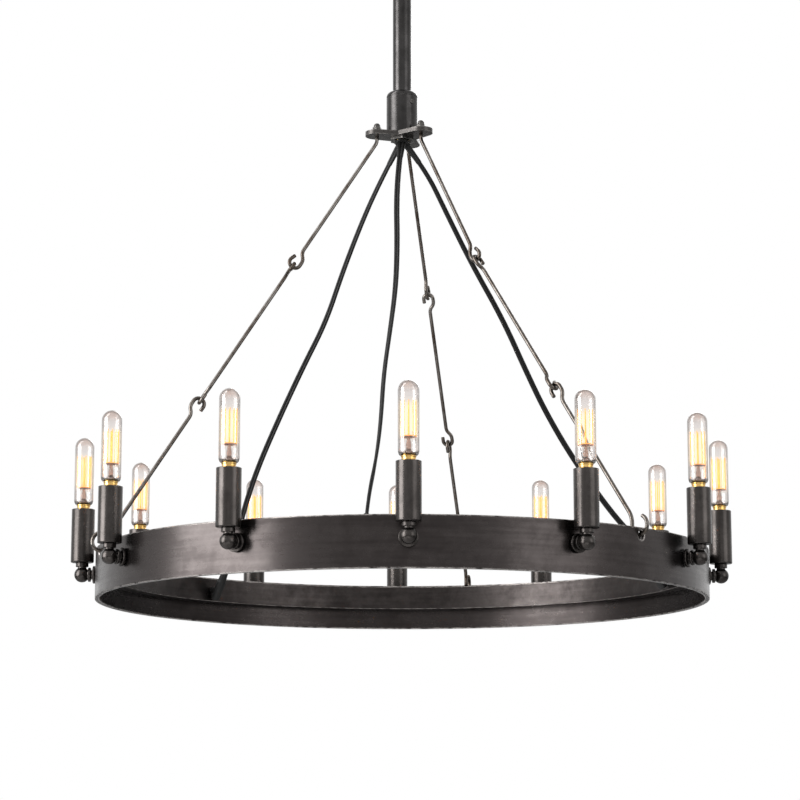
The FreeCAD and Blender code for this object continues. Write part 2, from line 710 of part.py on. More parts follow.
def lamp_elbows():
    """The cast ball elbow with its check ring, its collars and its two threaded ends."""
    ball = Part.makeSphere(ELBOW_BALL_R, Vector(LAMP_R, 0, ELBOW_Z))
    ring_low = CUP_BOTTOM - CHECK_RING_HEIGHT
    upright = cylinder(ELBOW_NECK_R, ELBOW_Z, ring_low, LAMP_R)
    check_ring = cylinder(CHECK_RING_R, ring_low, CUP_BOTTOM, LAMP_R)
    cup_thread = cylinder(ELBOW_THREAD_R, CUP_BOTTOM, CUP_BOTTOM + CUP_FLOOR, LAMP_R)

    def level_bar(radius, start, end):
        place = Vector(LAMP_R - end, 0, ELBOW_Z)
        return Part.makeCylinder(radius, end - start, place, OUTWARD)

    collar_end = INNER_COLLAR_START + INNER_COLLAR_LENGTH
    bars = [level_bar(ELBOW_NECK_R, 0, LAMP_STANDOFF),
            level_bar(INNER_COLLAR_R, INNER_COLLAR_START, collar_end),
            level_bar(FLANGE_R, LAMP_STANDOFF - FLANGE_LENGTH, LAMP_STANDOFF),
            level_bar(ELBOW_THREAD_R, LAMP_STANDOFF, LAMP_STANDOFF + RING_THICKNESS)]
    elbow = ball.multiFuse([upright, check_ring, cup_thread] + bars).removeSplitter()
    return ring_of(elbow, lamp_azimuths())


def lamp_cups():
    """The plain round cup that hides each socket."""
    cup = cylinder(CUP_R, CUP_BOTTOM, CUP_TOP, LAMP_R)
    floor_top = CUP_BOTTOM + CUP_FLOOR
    cup = cup.cut(cylinder(CUP_R - CUP_WALL, floor_top, CUP_TOP + CUT_OVERRUN, LAMP_R))
    cup = cup.cut(cylinder(ELBOW_THREAD_R, CUP_BOTTOM - CUT_OVERRUN, floor_top + CUT_OVERRUN, LAMP_R))
    return ring_of(cup, lamp_azimuths())


def lamp_sockets():
    """The moulded lamp holder inside each cup, bored for the bulb's base."""
    top = CUP_TOP - SOCKET_BELOW_RIM
    body = prism(SOCKET_FLATS, SOCKET_SIDES, CUP_BOTTOM + CUP_FLOOR, top, LAMP_R)
    bore = cylinder(BASE_R + BASE_FIT, BASE_BOTTOM, top + CUT_OVERRUN, LAMP_R)
    return ring_of(body.cut(bore), lamp_azimuths())


def on_lamps(shape):
    """A shape built round the hanging axis, set on every lamp."""
    placed = shape.copy()
    placed.translate(Vector(LAMP_R, 0, 0))
    return ring_of(placed, lamp_azimuths())


def bulb_bases():
    """The bulb's brass screw base, with its insulated tip as a plain cone."""
    return on_lamps(turned([(0, BASE_BOTTOM), (BASE_TIP_R, BASE_BOTTOM),
                            (BASE_R, BASE_BOTTOM + BASE_TIP_HEIGHT), (BASE_R, BASE_TOP), (0, BASE_TOP)]))


def bulb_outline(inset, bottom):
    """Half of a bulb's outline with a round top, drawn in by an inset."""
    flare_top = BASE_TOP + GLASS_FLARE_HEIGHT
    crown = BASE_TOP + GLASS_HEIGHT
    body_r = GLASS_R - inset
    shoulder = crown - GLASS_R
    low = Vector(BASE_R - inset, 0, bottom)
    flare = Vector(body_r, 0, flare_top)
    side = Vector(body_r, 0, shoulder)
    top = Vector(0, 0, shoulder + body_r)
    slant = body_r * math.sqrt(0.5)
    middle = Vector(slant, 0, shoulder + slant)
    foot = Vector(0, 0, bottom)
    return Part.Wire([Part.makeLine(foot, low), Part.makeLine(low, flare), Part.makeLine(flare, side),
                      Part.Arc(side, middle, top).toShape(), Part.makeLine(top, foot)])


def bulb_glasses():
    """The hollow tubular bulb with its round end."""
    def filled(inset, bottom):
        return Part.Face(bulb_outline(inset, bottom)).revolve(ORIGIN, UP, 360)

    return on_lamps(filled(0, BASE_TOP).cut(filled(GLASS_WALL, BASE_TOP + GLASS_FLOOR)))


def pinch_top():
    return BASE_TOP + GLASS_FLOOR + PINCH_HEIGHT


def bulb_mounts():
    """The flat glass pinch, with the bridge on its top that carries the filament."""
    pinch = Part.makeBox(PINCH_WIDTH, PINCH_DEPTH, PINCH_HEIGHT,
                         Vector(-PINCH_WIDTH / 2, -PINCH_DEPTH / 2, BASE_TOP + GLASS_FLOOR))
    bridge = prism(BRIDGE_FLATS, FILAMENT_COUNT, pinch_top(), pinch_top() + BRIDGE_THICKNESS)
    return on_lamps(pinch.fuse(bridge))


def bulb_filaments():
    """The cage filament: upright glowing runs that stand on a foot ring on the bridge."""
    foot = pinch_top() + BRIDGE_THICKNESS
    cage = tube(FILAMENT_R - FILAMENT_DEPTH / 2, FILAMENT_R + FILAMENT_DEPTH / 2,
                foot, foot + FILAMENT_WIDTH)
    runs = []
    for index in range(FILAMENT_COUNT):
        run = Part.makeBox(FILAMENT_DEPTH, FILAMENT_WIDTH, FILAMENT_LENGTH,
                           Vector(FILAMENT_R - FILAMENT_DEPTH / 2, -FILAMENT_WIDTH / 2, foot))
        run.rotate(ORIGIN, UP, 360.0 * index / FILAMENT_COUNT)
        runs.append(run)
    return on_lamps(cage.multiFuse(runs))


def parts():
    """Every node's name and shape."""
    nodes = {
        "ceiling_bracket": ceiling_bracket(),
        "canopy_studs": canopy_studs(),
        "canopy": canopy(),
        "canopy_cap_nuts": canopy_cap_nuts(),
        "swivel_seat": swivel_seat(),
        "swivel_ball": swivel_ball(),
        "stem": stem(),
        "coupling": coupling(),
        "coupling_set_screw": coupling_set_screw(),
        "hub_nipple": hub_nipple(),
        "hub_nut": hub_nut(),
        "hub_plate": hub_plate(),
        "hub_cap_nuts": hub_cap_nuts(),
        "cord_plug": cord_plug(),
        "ring_band": ring_band(),
        "wire_channel": wire_channel(),
        "cord_glands": cord_glands(),
        "lamp_elbows": lamp_elbows(),
        "lamp_cups": lamp_cups(),
        "lamp_sockets": lamp_sockets(),
        "bulb_bases": bulb_bases(),
        "bulb_glasses": bulb_glasses(),
        "bulb_mounts": bulb_mounts(),
        "bulb_filaments": bulb_filaments(),
    }
    upper = upper_link(arm_lean(), joint_reach(UPPER_JOINT_RISE))
    straight = {"upper_link": upper, "middle_link": middle_link(), "lower_link": lower_link()}
    off_line = {"upper_link": swayed_upper_link(), "middle_link": swayed(straight["middle_link"]),
                "lower_link": swayed(straight["lower_link"])}
    for side, azimuth in zip(("left", "right", "back"), arm_azimuths()):
        links = off_line if side == "right" else straight
        for link, shape in links.items():
            nodes[link + "_" + side] = at_azimuth(shape, azimuth)
    for name in CORD_POINTS:
        nodes[name] = cord(name)
    return nodes


def main():
    os.makedirs("parts", exist_ok=True)
    for name, shape in parts().items():
        shape.exportStep(os.path.join("parts", name + ".step"))
        print(name, "solids", len(shape.Solids), "valid", shape.isValid(), "volume", round(shape.Volume))


main()
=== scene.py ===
"""A round iron chandelier dressed over its CAD frame.

The frame gives every node at its true place. This script adds what the solids keep plain: round drawn
rods, turned lamps with clear tubular bulbs and glowing cage filaments, smooth cords with their sleeves,
and a procedural finish for every surface.
"""

import logging
import math
from collections.abc import Callable, Iterable, Sequence
from dataclasses import dataclass, field
from enum import Enum

import bpy
from mathutils import Matrix, Quaternion, Vector

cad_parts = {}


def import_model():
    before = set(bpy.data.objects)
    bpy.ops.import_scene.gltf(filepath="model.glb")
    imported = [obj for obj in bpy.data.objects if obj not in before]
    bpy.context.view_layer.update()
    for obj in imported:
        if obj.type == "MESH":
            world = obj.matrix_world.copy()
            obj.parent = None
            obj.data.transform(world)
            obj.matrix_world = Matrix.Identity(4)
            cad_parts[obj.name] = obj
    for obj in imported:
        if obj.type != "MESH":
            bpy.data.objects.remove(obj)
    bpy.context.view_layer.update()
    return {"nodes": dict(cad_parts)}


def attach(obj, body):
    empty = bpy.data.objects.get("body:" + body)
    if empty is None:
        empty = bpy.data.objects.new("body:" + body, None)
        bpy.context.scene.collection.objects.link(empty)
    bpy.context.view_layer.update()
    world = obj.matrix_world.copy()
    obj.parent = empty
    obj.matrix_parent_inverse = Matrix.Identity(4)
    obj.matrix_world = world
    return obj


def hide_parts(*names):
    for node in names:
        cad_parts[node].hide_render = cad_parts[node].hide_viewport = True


LOG = logging.getLogger("chandelier")
MM = 0.001
UP = Vector((0.0, 0.0, 1.0))
SIDEWAYS = Vector((0.0, 1.0, 0.0))
IN_PLACE = Matrix.Identity(4)
ON_AXIS = 1e-6

Colour = tuple[float, float, float]
Corner = tuple[float, float, float]
Outline = list[tuple[float, float]]
Socket = bpy.types.NodeSocket


class Body(Enum):
    """The frame's moving bodies that carry pieces made here."""

    STEM = "stem_assembly"
    RING = "ring"
    ARM_LEFT = "arm_left"
    ARM_RIGHT = "arm_right"
    ARM_BACK = "arm_back"


class Space(Enum):
    """Which way the streaks in a finish run."""

    EVEN = "even"
    UPRIGHT = "upright"
    ROUND_THE_RING = "round the ring"


# Node trees


class Graph:
    """Adds nodes to one tree and joins them."""

    def __init__(self, tree: bpy.types.NodeTree) -> None:
        """Keeps the tree that the nodes go into.

        Args:
            tree: A material's, a world's or a group's node tree.
        """
        self.tree = tree

    def add(self, kind: str, inputs: dict | None = None, **settings: object) -> bpy.types.Node:
        """Adds a node and fills its inputs.

        Args:
            kind: The node's type name.
            inputs: Values or sockets for its inputs, by name or number.
            **settings: Properties of the node, such as its operation.

        Returns:
            The new node.
        """
        node = self.tree.nodes.new(kind)
        for name, value in settings.items():
            setattr(node, name, value)
        for key, value in (inputs or {}).items():
            socket = node.inputs[key]
            if isinstance(value, bpy.types.NodeSocket):
                self.tree.links.new(value, socket)
            else:
                socket.default_value = value
        return node

    def math(self, operation: str, *values: Socket | float) -> Socket:
        """A Math node's result.

        Args:
            operation: The operation's name.
            *values: Its inputs in order.

        Returns:
            The result socket.
        """
        return self.add("ShaderNodeMath", dict(enumerate(values)), operation=operation).outputs[0]

    def mix(self, factor: Socket | float, first: Socket | Colour, second: Socket | Colour) -> Socket:
        """A blend of two colours.

        Args:
            factor: How much of the second shows.
            first: The colour at nought.
            second: The colour at one.

        Returns:
            The colour socket.
        """
        inputs = {0: factor, 6: opaque(first), 7: opaque(second)}
        return self.add("ShaderNodeMix", inputs, data_type="RGBA").outputs[2]

    def remap(self, value: Socket, low: float, high: float, to_low: float = 0.0,
              to_high: float = 1.0) -> Socket:
        """A clamped Map Range.

        Args:
            value: The value to map.
            low: The value that gives to_low.
            high: The value that gives to_high.
            to_low: The result at the low end.
            to_high: The result at the high end.

        Returns:
            The result socket.
        """
        return self.add("ShaderNodeMapRange", {0: value, 1: low, 2: high, 3: to_low, 4: to_high}).outputs[0]

    def noise(self, place: Socket, scale: Socket | float, **values: float) -> Socket:
        """A noise texture's value.

        Args:
            place: The vector that it is read at.
            scale: Its scale.
            **values: Its other inputs by name.

        Returns:
            The value's socket.
        """
        inputs = {"Vector": place, "Scale": scale, **values}
        return self.add("ShaderNodeTexNoise", inputs).outputs["Fac"]

    def group(self, tree: bpy.types.NodeTree, place: Socket, **values: float) -> bpy.types.Node:
        """Places a shared shader group.

        Args:
            tree: The group.
            place: The vector that it works on.
            **values: Its other inputs by name.

        Returns:
            The group's node.
        """
        return self.add("ShaderNodeGroup", {"Vector": place, **values}, node_tree=tree)


def opaque(colour: Socket | Colour) -> Socket | tuple[float, ...]:
    """A colour with its alpha of one, or the socket as it is."""
    return colour if isinstance(colour, bpy.types.NodeSocket) else (*colour, 1.0)


@dataclass(frozen=True)
class GroupSocket:
    """One socket of a node group: its name, its kind and the value it starts with."""

    name: str
    kind: str = "NodeSocketFloat"
    value: object = None


def shader_group(name: str, takes: Sequence[GroupSocket], gives: Sequence[GroupSocket],
                 fill: Callable[[Graph, dict[str, Socket]], dict[str, Socket]]) -> bpy.types.NodeTree:
    """Builds a shader node group once.

    Args:
        name: The group's name.
        takes: Its inputs.
        gives: Its outputs.
        fill: Adds the nodes, given the input sockets by name, and returns the output sockets by name.

    Returns:
        The finished group.
    """
    tree = bpy.data.node_groups.new(name, "ShaderNodeTree")
    for way, sockets in (("INPUT", takes), ("OUTPUT", gives)):
        for socket in sockets:
            made = tree.interface.new_socket(socket.name, in_out=way, socket_type=socket.kind)
            if socket.value is not None:
                made.default_value = socket.value
    graph = Graph(tree)
    entry = graph.add("NodeGroupInput")
    leave = graph.add("NodeGroupOutput")
    results = fill(graph, {socket.name: entry.outputs[socket.name] for socket in takes})
    for key, socket in results.items():
        tree.links.new(socket, leave.inputs[key])
    return tree


class Effects:
    """The shared shader groups for mottling, grain, edge wear with a painted edge highlight, dust and the
    ring's own space.
    """

    FINE_SCALE = 5.3
    FINE_SHARE = 0.35
    CONTRAST_GAIN = 8.0
    FLECK_SCALE = 17.0
    FLECK_REACH = (0.06, 0.26)
    BROAD_SCALE = 0.23
    BROAD_HEIGHT = 0.8
    STREAK_RANGE = (0.3, 0.7)
    BEVEL_SAMPLES = 6
    EDGE_TURN = (0.995, 0.86)
    EDGE_BREAKUP_SCALE = 140.0
    EDGE_BREAKUP_RANGE = (0.34, 0.6)
    DUST_FACING = (0.35, 0.95)
    DUST_RANGE = (0.38, 0.66)
    RING_RADIUS_M = 0.3175
    HALF_RING_SHIFT = 0.5

    def __init__(self) -> None:
        """Builds every group once."""
        vector = GroupSocket("Vector", "NodeSocketVector")
        self.mottle = shader_group(
            "Mottled patina", [vector, GroupSocket("Scale", value=20.0), GroupSocket("Contrast", value=0.5)],
            [GroupSocket("Mask"), GroupSocket("Fleck")], self._mottle)
        self.grain = shader_group(
            "Drawn grain", [vector, GroupSocket("Scale", value=600.0)],
            [GroupSocket("Height"), GroupSocket("Streak")], self._grain)
        self.edge = shader_group(
            "Rubbed and highlit edges", [vector, GroupSocket("Radius", value=0.0006), GroupSocket("Gain", value=1.0)],
            [GroupSocket("Mask"), GroupSocket("Normal", "NodeSocketVector")], self._edge)
        self.dust = shader_group(
            "Settled dust", [vector, GroupSocket("Scale", value=90.0)], [GroupSocket("Mask")], self._dust)
        self.ring = shader_group(
            "Round the ring", [vector, GroupSocket("Stretch", value=0.06)],
            [GroupSocket("Vector", "NodeSocketVector")], self._ring)

    @staticmethod
    def _mottle(graph: Graph, given: dict[str, Socket]) -> dict[str, Socket]:
        """Cloudy patches at two scales, and small dark flecks."""
        cloud = graph.noise(given["Vector"], given["Scale"], Detail=6.0, Roughness=0.62, Distortion=0.5)
        fine_scale = graph.math("MULTIPLY", given["Scale"], Effects.FINE_SCALE)
        fine = graph.noise(given["Vector"], fine_scale, Detail=4.0, Roughness=0.7)
        both = graph.math("MULTIPLY_ADD", fine, Effects.FINE_SHARE, graph.math(
            "MULTIPLY", cloud, 1 - Effects.FINE_SHARE))
        spread = graph.math("MULTIPLY", graph.math("SUBTRACT", both, 0.5), graph.math(
            "MULTIPLY", given["Contrast"], Effects.CONTRAST_GAIN))
        mask = graph.add("ShaderNodeClamp", {0: graph.math("ADD", spread, 0.5)})
        fleck_scale = graph.math("MULTIPLY", given["Scale"], Effects.FLECK_SCALE)
        cell = graph.add("ShaderNodeTexVoronoi", {"Vector": given["Vector"], "Scale": fleck_scale})
        fleck = graph.remap(cell.outputs["Distance"], *Effects.FLECK_REACH, 1.0, 0.0)
        return {"Mask": mask.outputs[0], "Fleck": graph.math("MULTIPLY", fleck, mask.outputs[0])}

    @staticmethod
    def _grain(graph: Graph, given: dict[str, Socket]) -> dict[str, Socket]:
        """Fine tooth for the bump, and broader streaks for gloss and colour."""
        fine = graph.noise(given["Vector"], given["Scale"], Detail=3.0, Roughness=0.6)
        broad_scale = graph.math("MULTIPLY", given["Scale"], Effects.BROAD_SCALE)
        broad = graph.noise(given["Vector"], broad_scale, Detail=3.0, Roughness=0.5)
        height = graph.math("MULTIPLY_ADD", broad, Effects.BROAD_HEIGHT, fine)
        return {"Height": height, "Streak": graph.remap(broad, *Effects.STREAK_RANGE)}

    @staticmethod
    def _edge(graph: Graph, given: dict[str, Socket]) -> dict[str, Socket]:
        """Where the surface turns within the radius, broken up as handling breaks it: worn edges, and a
        painted highlight along them.
        """
        soft = graph.add("ShaderNodeBevel", {"Radius": given["Radius"]}, samples=Effects.BEVEL_SAMPLES)
        flat = graph.add("ShaderNodeNewGeometry")
        dot = graph.add("ShaderNodeVectorMath", {0: soft.outputs[0], 1: flat.outputs["Normal"]},
                        operation="DOT_PRODUCT")
        turn = graph.remap(dot.outputs["Value"], *Effects.EDGE_TURN)
        edge_breakup_noise = graph.noise(given["Vector"], Effects.EDGE_BREAKUP_SCALE, Detail=4.0)
        edge_breakup = graph.remap(edge_breakup_noise, *Effects.EDGE_BREAKUP_RANGE)
        mask = graph.math("MULTIPLY", graph.math("MULTIPLY", turn, edge_breakup), given["Gain"])
        clamped = graph.add("ShaderNodeClamp", {0: mask})
        return {"Mask": clamped.outputs[0], "Normal": soft.outputs[0]}

    @staticmethod
    def _dust(graph: Graph, given: dict[str, Socket]) -> dict[str, Socket]:
        """Thin dust on what faces up."""
        facing = graph.add("ShaderNodeSeparateXYZ", {0: graph.add("ShaderNodeNewGeometry").outputs["Normal"]})
        up = graph.remap(facing.outputs["Z"], *Effects.DUST_FACING)
        lying = graph.noise(given["Vector"], given["Scale"], Detail=5.0, Roughness=0.65)
        return {"Mask": graph.math("MULTIPLY", up, graph.remap(lying, *Effects.DUST_RANGE))}

    @staticmethod
    def _ring(graph: Graph, given: dict[str, Socket]) -> dict[str, Socket]:
        """Turns a place into its way round the ring, its distance out and its height."""
        part = graph.add("ShaderNodeSeparateXYZ", {0: given["Vector"]})
        x, y, z = part.outputs
        out = graph.math("SQRT", graph.math("MULTIPLY_ADD", x, x, graph.math("MULTIPLY", y, y)))
        turn = graph.math("ABSOLUTE", graph.math("ARCTAN2", x, y))
        arc = graph.math("MULTIPLY", turn, Effects.RING_RADIUS_M)
        along = graph.math("MULTIPLY", arc, given["Stretch"])
        side = graph.math("MULTIPLY", graph.math("SIGN", x), Effects.HALF_RING_SHIFT)
        place = graph.add("ShaderNodeCombineXYZ", {0: graph.math("ADD", along, side), 1: out, 2: z})
        return {"Vector": place.outputs[0]}


# Finishes


@dataclass(frozen=True)
class SolidFinish:
    """A metal, rubber or moulded surface with patina, grain, rubbed edges that also carry a painted
    highlight, and dust.
    """

    slot: str
    deep: Colour
    pale: Colour
    # Edge colour: lighter both where rubbed and as a painted highlight where the edges would catch the light
    rubbed_and_highlit: Colour
    metallic: float
    gloss_rough: float
    dull_rough: float
    patch_scale: float
    contrast: float = 0.5
    fleck: float = 0.4
    grain_scale: float = 600.0
    grain_depth: float = 0.00002
    grain_stretch: float = 1.0
    space: Space = Space.EVEN
    edge_radius: float = 0.0005
    edge_gain: float = 0.8
    dust: float = 0.25
    dust_colour: Colour = (0.20, 0.19, 0.175)
    dust_rough: float = 1.4
    streak_share: float = 0.3
    fleck_shade: float = 0.45
    specular: float = 0.5

    def place(self, graph: Graph, effects: Effects, coords: Socket) -> Socket:
        """The place that the grain is drawn on.

        Args:
            graph: The material's graph.
            effects: The shared groups.
            coords: The Object coordinates.

        Returns:
            The vector socket, stretched along the grain.
        """
        if self.space is Space.ROUND_THE_RING:
            return graph.group(effects.ring, coords, Stretch=self.grain_stretch).outputs["Vector"]
        scale = (1.0, 1.0, self.grain_stretch if self.space is Space.UPRIGHT else 1.0)
        return graph.add("ShaderNodeMapping", {"Vector": coords, "Scale": scale}).outputs[0]

    def build(self, effects: Effects) -> bpy.types.Material:
        """Makes the material.

        Args:
            effects: The shared groups.

        Returns:
            The finished material, named after its slot.
        """
        material, graph, shader = new_material(self.slot)
        coords = graph.add("ShaderNodeTexCoord").outputs["Object"]
        mottle = graph.group(effects.mottle, coords, Scale=self.patch_scale, Contrast=self.contrast)
        grain = graph.group(effects.grain, self.place(graph, effects, coords), Scale=self.grain_scale)
        edge = graph.group(effects.edge, coords, Radius=self.edge_radius, Gain=self.edge_gain)
        dust = graph.group(effects.dust, coords)
        dust_mask = graph.math("MULTIPLY", dust.outputs["Mask"], self.dust)
        shade = graph.math("MULTIPLY_ADD", grain.outputs["Streak"], self.streak_share, graph.math(
            "MULTIPLY", mottle.outputs["Mask"], 1 - self.streak_share))
        colour = graph.mix(shade, self.deep, self.pale)
        dark = tuple(self.fleck_shade * part for part in self.deep)
        colour = graph.mix(graph.math("MULTIPLY", mottle.outputs["Fleck"], self.fleck), colour, dark)
        # Edges take the rubbed colour: partly real wear, partly a painted highlight
        colour = graph.mix(edge.outputs["Mask"], colour, self.rubbed_and_highlit)
        colour = graph.mix(dust_mask, colour, self.dust_colour)
        rough = graph.remap(shade, 0.0, 1.0, self.dull_rough, self.gloss_rough)
        rough = graph.math("MAXIMUM", rough, graph.math("MULTIPLY", dust_mask, self.dust_rough))
        bump = graph.add("ShaderNodeBump", {"Height": grain.outputs["Height"], "Strength": 1.0,
                                            "Distance": self.grain_depth, "Normal": edge.outputs["Normal"]})
        for name, value in (("Base Color", colour), ("Roughness", rough), ("Normal", bump.outputs[0])):
            graph.tree.links.new(value, shader.inputs[name])
        shader.inputs["Metallic"].default_value = self.metallic
        shader.inputs["Specular IOR Level"].default_value = self.specular
        return material


@dataclass(frozen=True)
class GlassFinish:
    """Clear glass with faint haze, a painted warm glow where the filament lights it, a painted brown
    reflection on its crown, and painted shade along its edges.
    """

    slot: str
    tint: Colour = (0.90, 0.87, 0.855)
    # Painted shade: the colour that the glass turns towards along its edges as seen
    rim: Colour = (0.13, 0.105, 0.09)
    # Painted light: the warm colour that the glass takes where the filament lights it
    warm: Colour = (1.0, 0.945, 0.86)
    roughness: float = 0.02
    haze: float = 0.05
    ior: float = 1.46
    smear_scale: float = 55.0
    smear_contrast: float = 0.35
    smear_shade: float = 0.93
    rim_shade_turns: tuple[float, float] = (0.3, 0.8)
    # Painted glow: the glass emits this faintly in the lit zone, though only the filament is a lamp
    glow: Colour = (1.0, 0.62, 0.25)
    glow_strength: float = 0.0
    glow_low: float = 0.0
    glow_high: float = 0.0
    glow_edge: float = 0.004
    # Painted reflection: a brown glint on the crown, which sets in between these heights
    crown: Colour = (0.66, 0.52, 0.46)
    crown_reflection_low: float = 0.0
    crown_reflection_high: float = 0.0

    def build(self, effects: Effects) -> bpy.types.Material:
        """Makes the material.

        Args:
            effects: The shared groups.

        Returns:
            The finished material.
        """
        material, graph, shader = new_material(self.slot)
        coords = graph.add("ShaderNodeTexCoord").outputs["Object"]
        smear = graph.group(effects.mottle, coords, Scale=self.smear_scale, Contrast=self.smear_contrast)
        rough = graph.remap(smear.outputs["Mask"], 0.0, 1.0, self.roughness, self.roughness + self.haze)
        graph.tree.links.new(rough, shader.inputs["Roughness"])
        dim = tuple(self.smear_shade * part for part in self.tint)
        colour = graph.mix(smear.outputs["Mask"], self.tint, dim)
        shader.inputs["Transmission Weight"].default_value = 1.0
        shader.inputs["IOR"].default_value = self.ior
        # Painted light: the lit zone takes a warm colour and a faint emission, as if lit by the filament
        if self.glow_strength:
            height = graph.add("ShaderNodeSeparateXYZ", {0: coords}).outputs["Z"]
            rise = graph.remap(height, self.glow_low - self.glow_edge, self.glow_low + self.glow_edge)
            fall = graph.remap(height, self.glow_high + self.glow_edge, self.glow_high - self.glow_edge)
            lit = graph.math("MULTIPLY", rise, fall)
            colour = graph.mix(lit, colour, self.warm)
            graph.tree.links.new(graph.mix(lit, (0.0, 0.0, 0.0), self.glow), shader.inputs["Emission Color"])
            shader.inputs["Emission Strength"].default_value = self.glow_strength
            # Painted reflection: the crown turns brown above these heights, in the smear's patches
            crown = graph.remap(height, self.crown_reflection_low, self.crown_reflection_high)
            colour = graph.mix(graph.math("MULTIPLY", crown, smear.outputs["Mask"]), colour, self.crown)
        # Painted shade: darker where the glass turns away from view, drawing its outline
        turn_away = graph.add("ShaderNodeLayerWeight", {"Blend": 0.5}).outputs["Facing"]
        colour = graph.mix(graph.remap(turn_away, *self.rim_shade_turns), colour, self.rim)
        graph.tree.links.new(colour, shader.inputs["Base Color"])
        return material


@dataclass(frozen=True)
class GlowFinish:
    """A glowing filament, hotter in patches."""

    slot: str
    hot: Colour = (1.0, 0.47, 0.10)
    warm: Colour = (1.0, 0.33, 0.045)
    strength: float = 0.95
    patch_scale: float = 130.0
    contrast: float = 0.5
    roughness: float = 0.6

    def build(self, effects: Effects) -> bpy.types.Material:
        """Makes the material.

        Args:
            effects: The shared groups.

        Returns:
            The finished material.
        """
        material, graph, shader = new_material(self.slot)
        coords = graph.add("ShaderNodeTexCoord").outputs["Object"]
        patch = graph.group(effects.mottle, coords, Scale=self.patch_scale, Contrast=self.contrast)
        colour = graph.mix(patch.outputs["Mask"], self.warm, self.hot)
        graph.tree.links.new(colour, shader.inputs["Emission Color"])
        graph.tree.links.new(colour, shader.inputs["Base Color"])
        shader.inputs["Emission Strength"].default_value = self.strength
        shader.inputs["Roughness"].default_value = self.roughness
        return material


def new_material(name: str) -> tuple[bpy.types.Material, Graph, bpy.types.Node]:
    """An empty node material with its Principled shader.

    Args:
        name: The material's name.

    Returns:
        The material, its graph and the shader node.
    """
    material = bpy.data.materials.new(name)
    material.use_nodes = True
    material.node_tree.nodes.clear()
    graph = Graph(material.node_tree)
    shader = graph.add("ShaderNodeBsdfPrincipled")
    graph.add("ShaderNodeOutputMaterial", {"Surface": shader.outputs[0]})
    return material, graph, shader


# Heights on the bulbs in metres: the zone of painted glow, and where the crown's painted reflection sets in
BULB_GLOW_LOW = -0.7574
BULB_GLOW_HIGH = -0.7250
BULB_CROWN_REFLECTION_LOW = -0.7160
BULB_CROWN_REFLECTION_HIGH = -0.7060

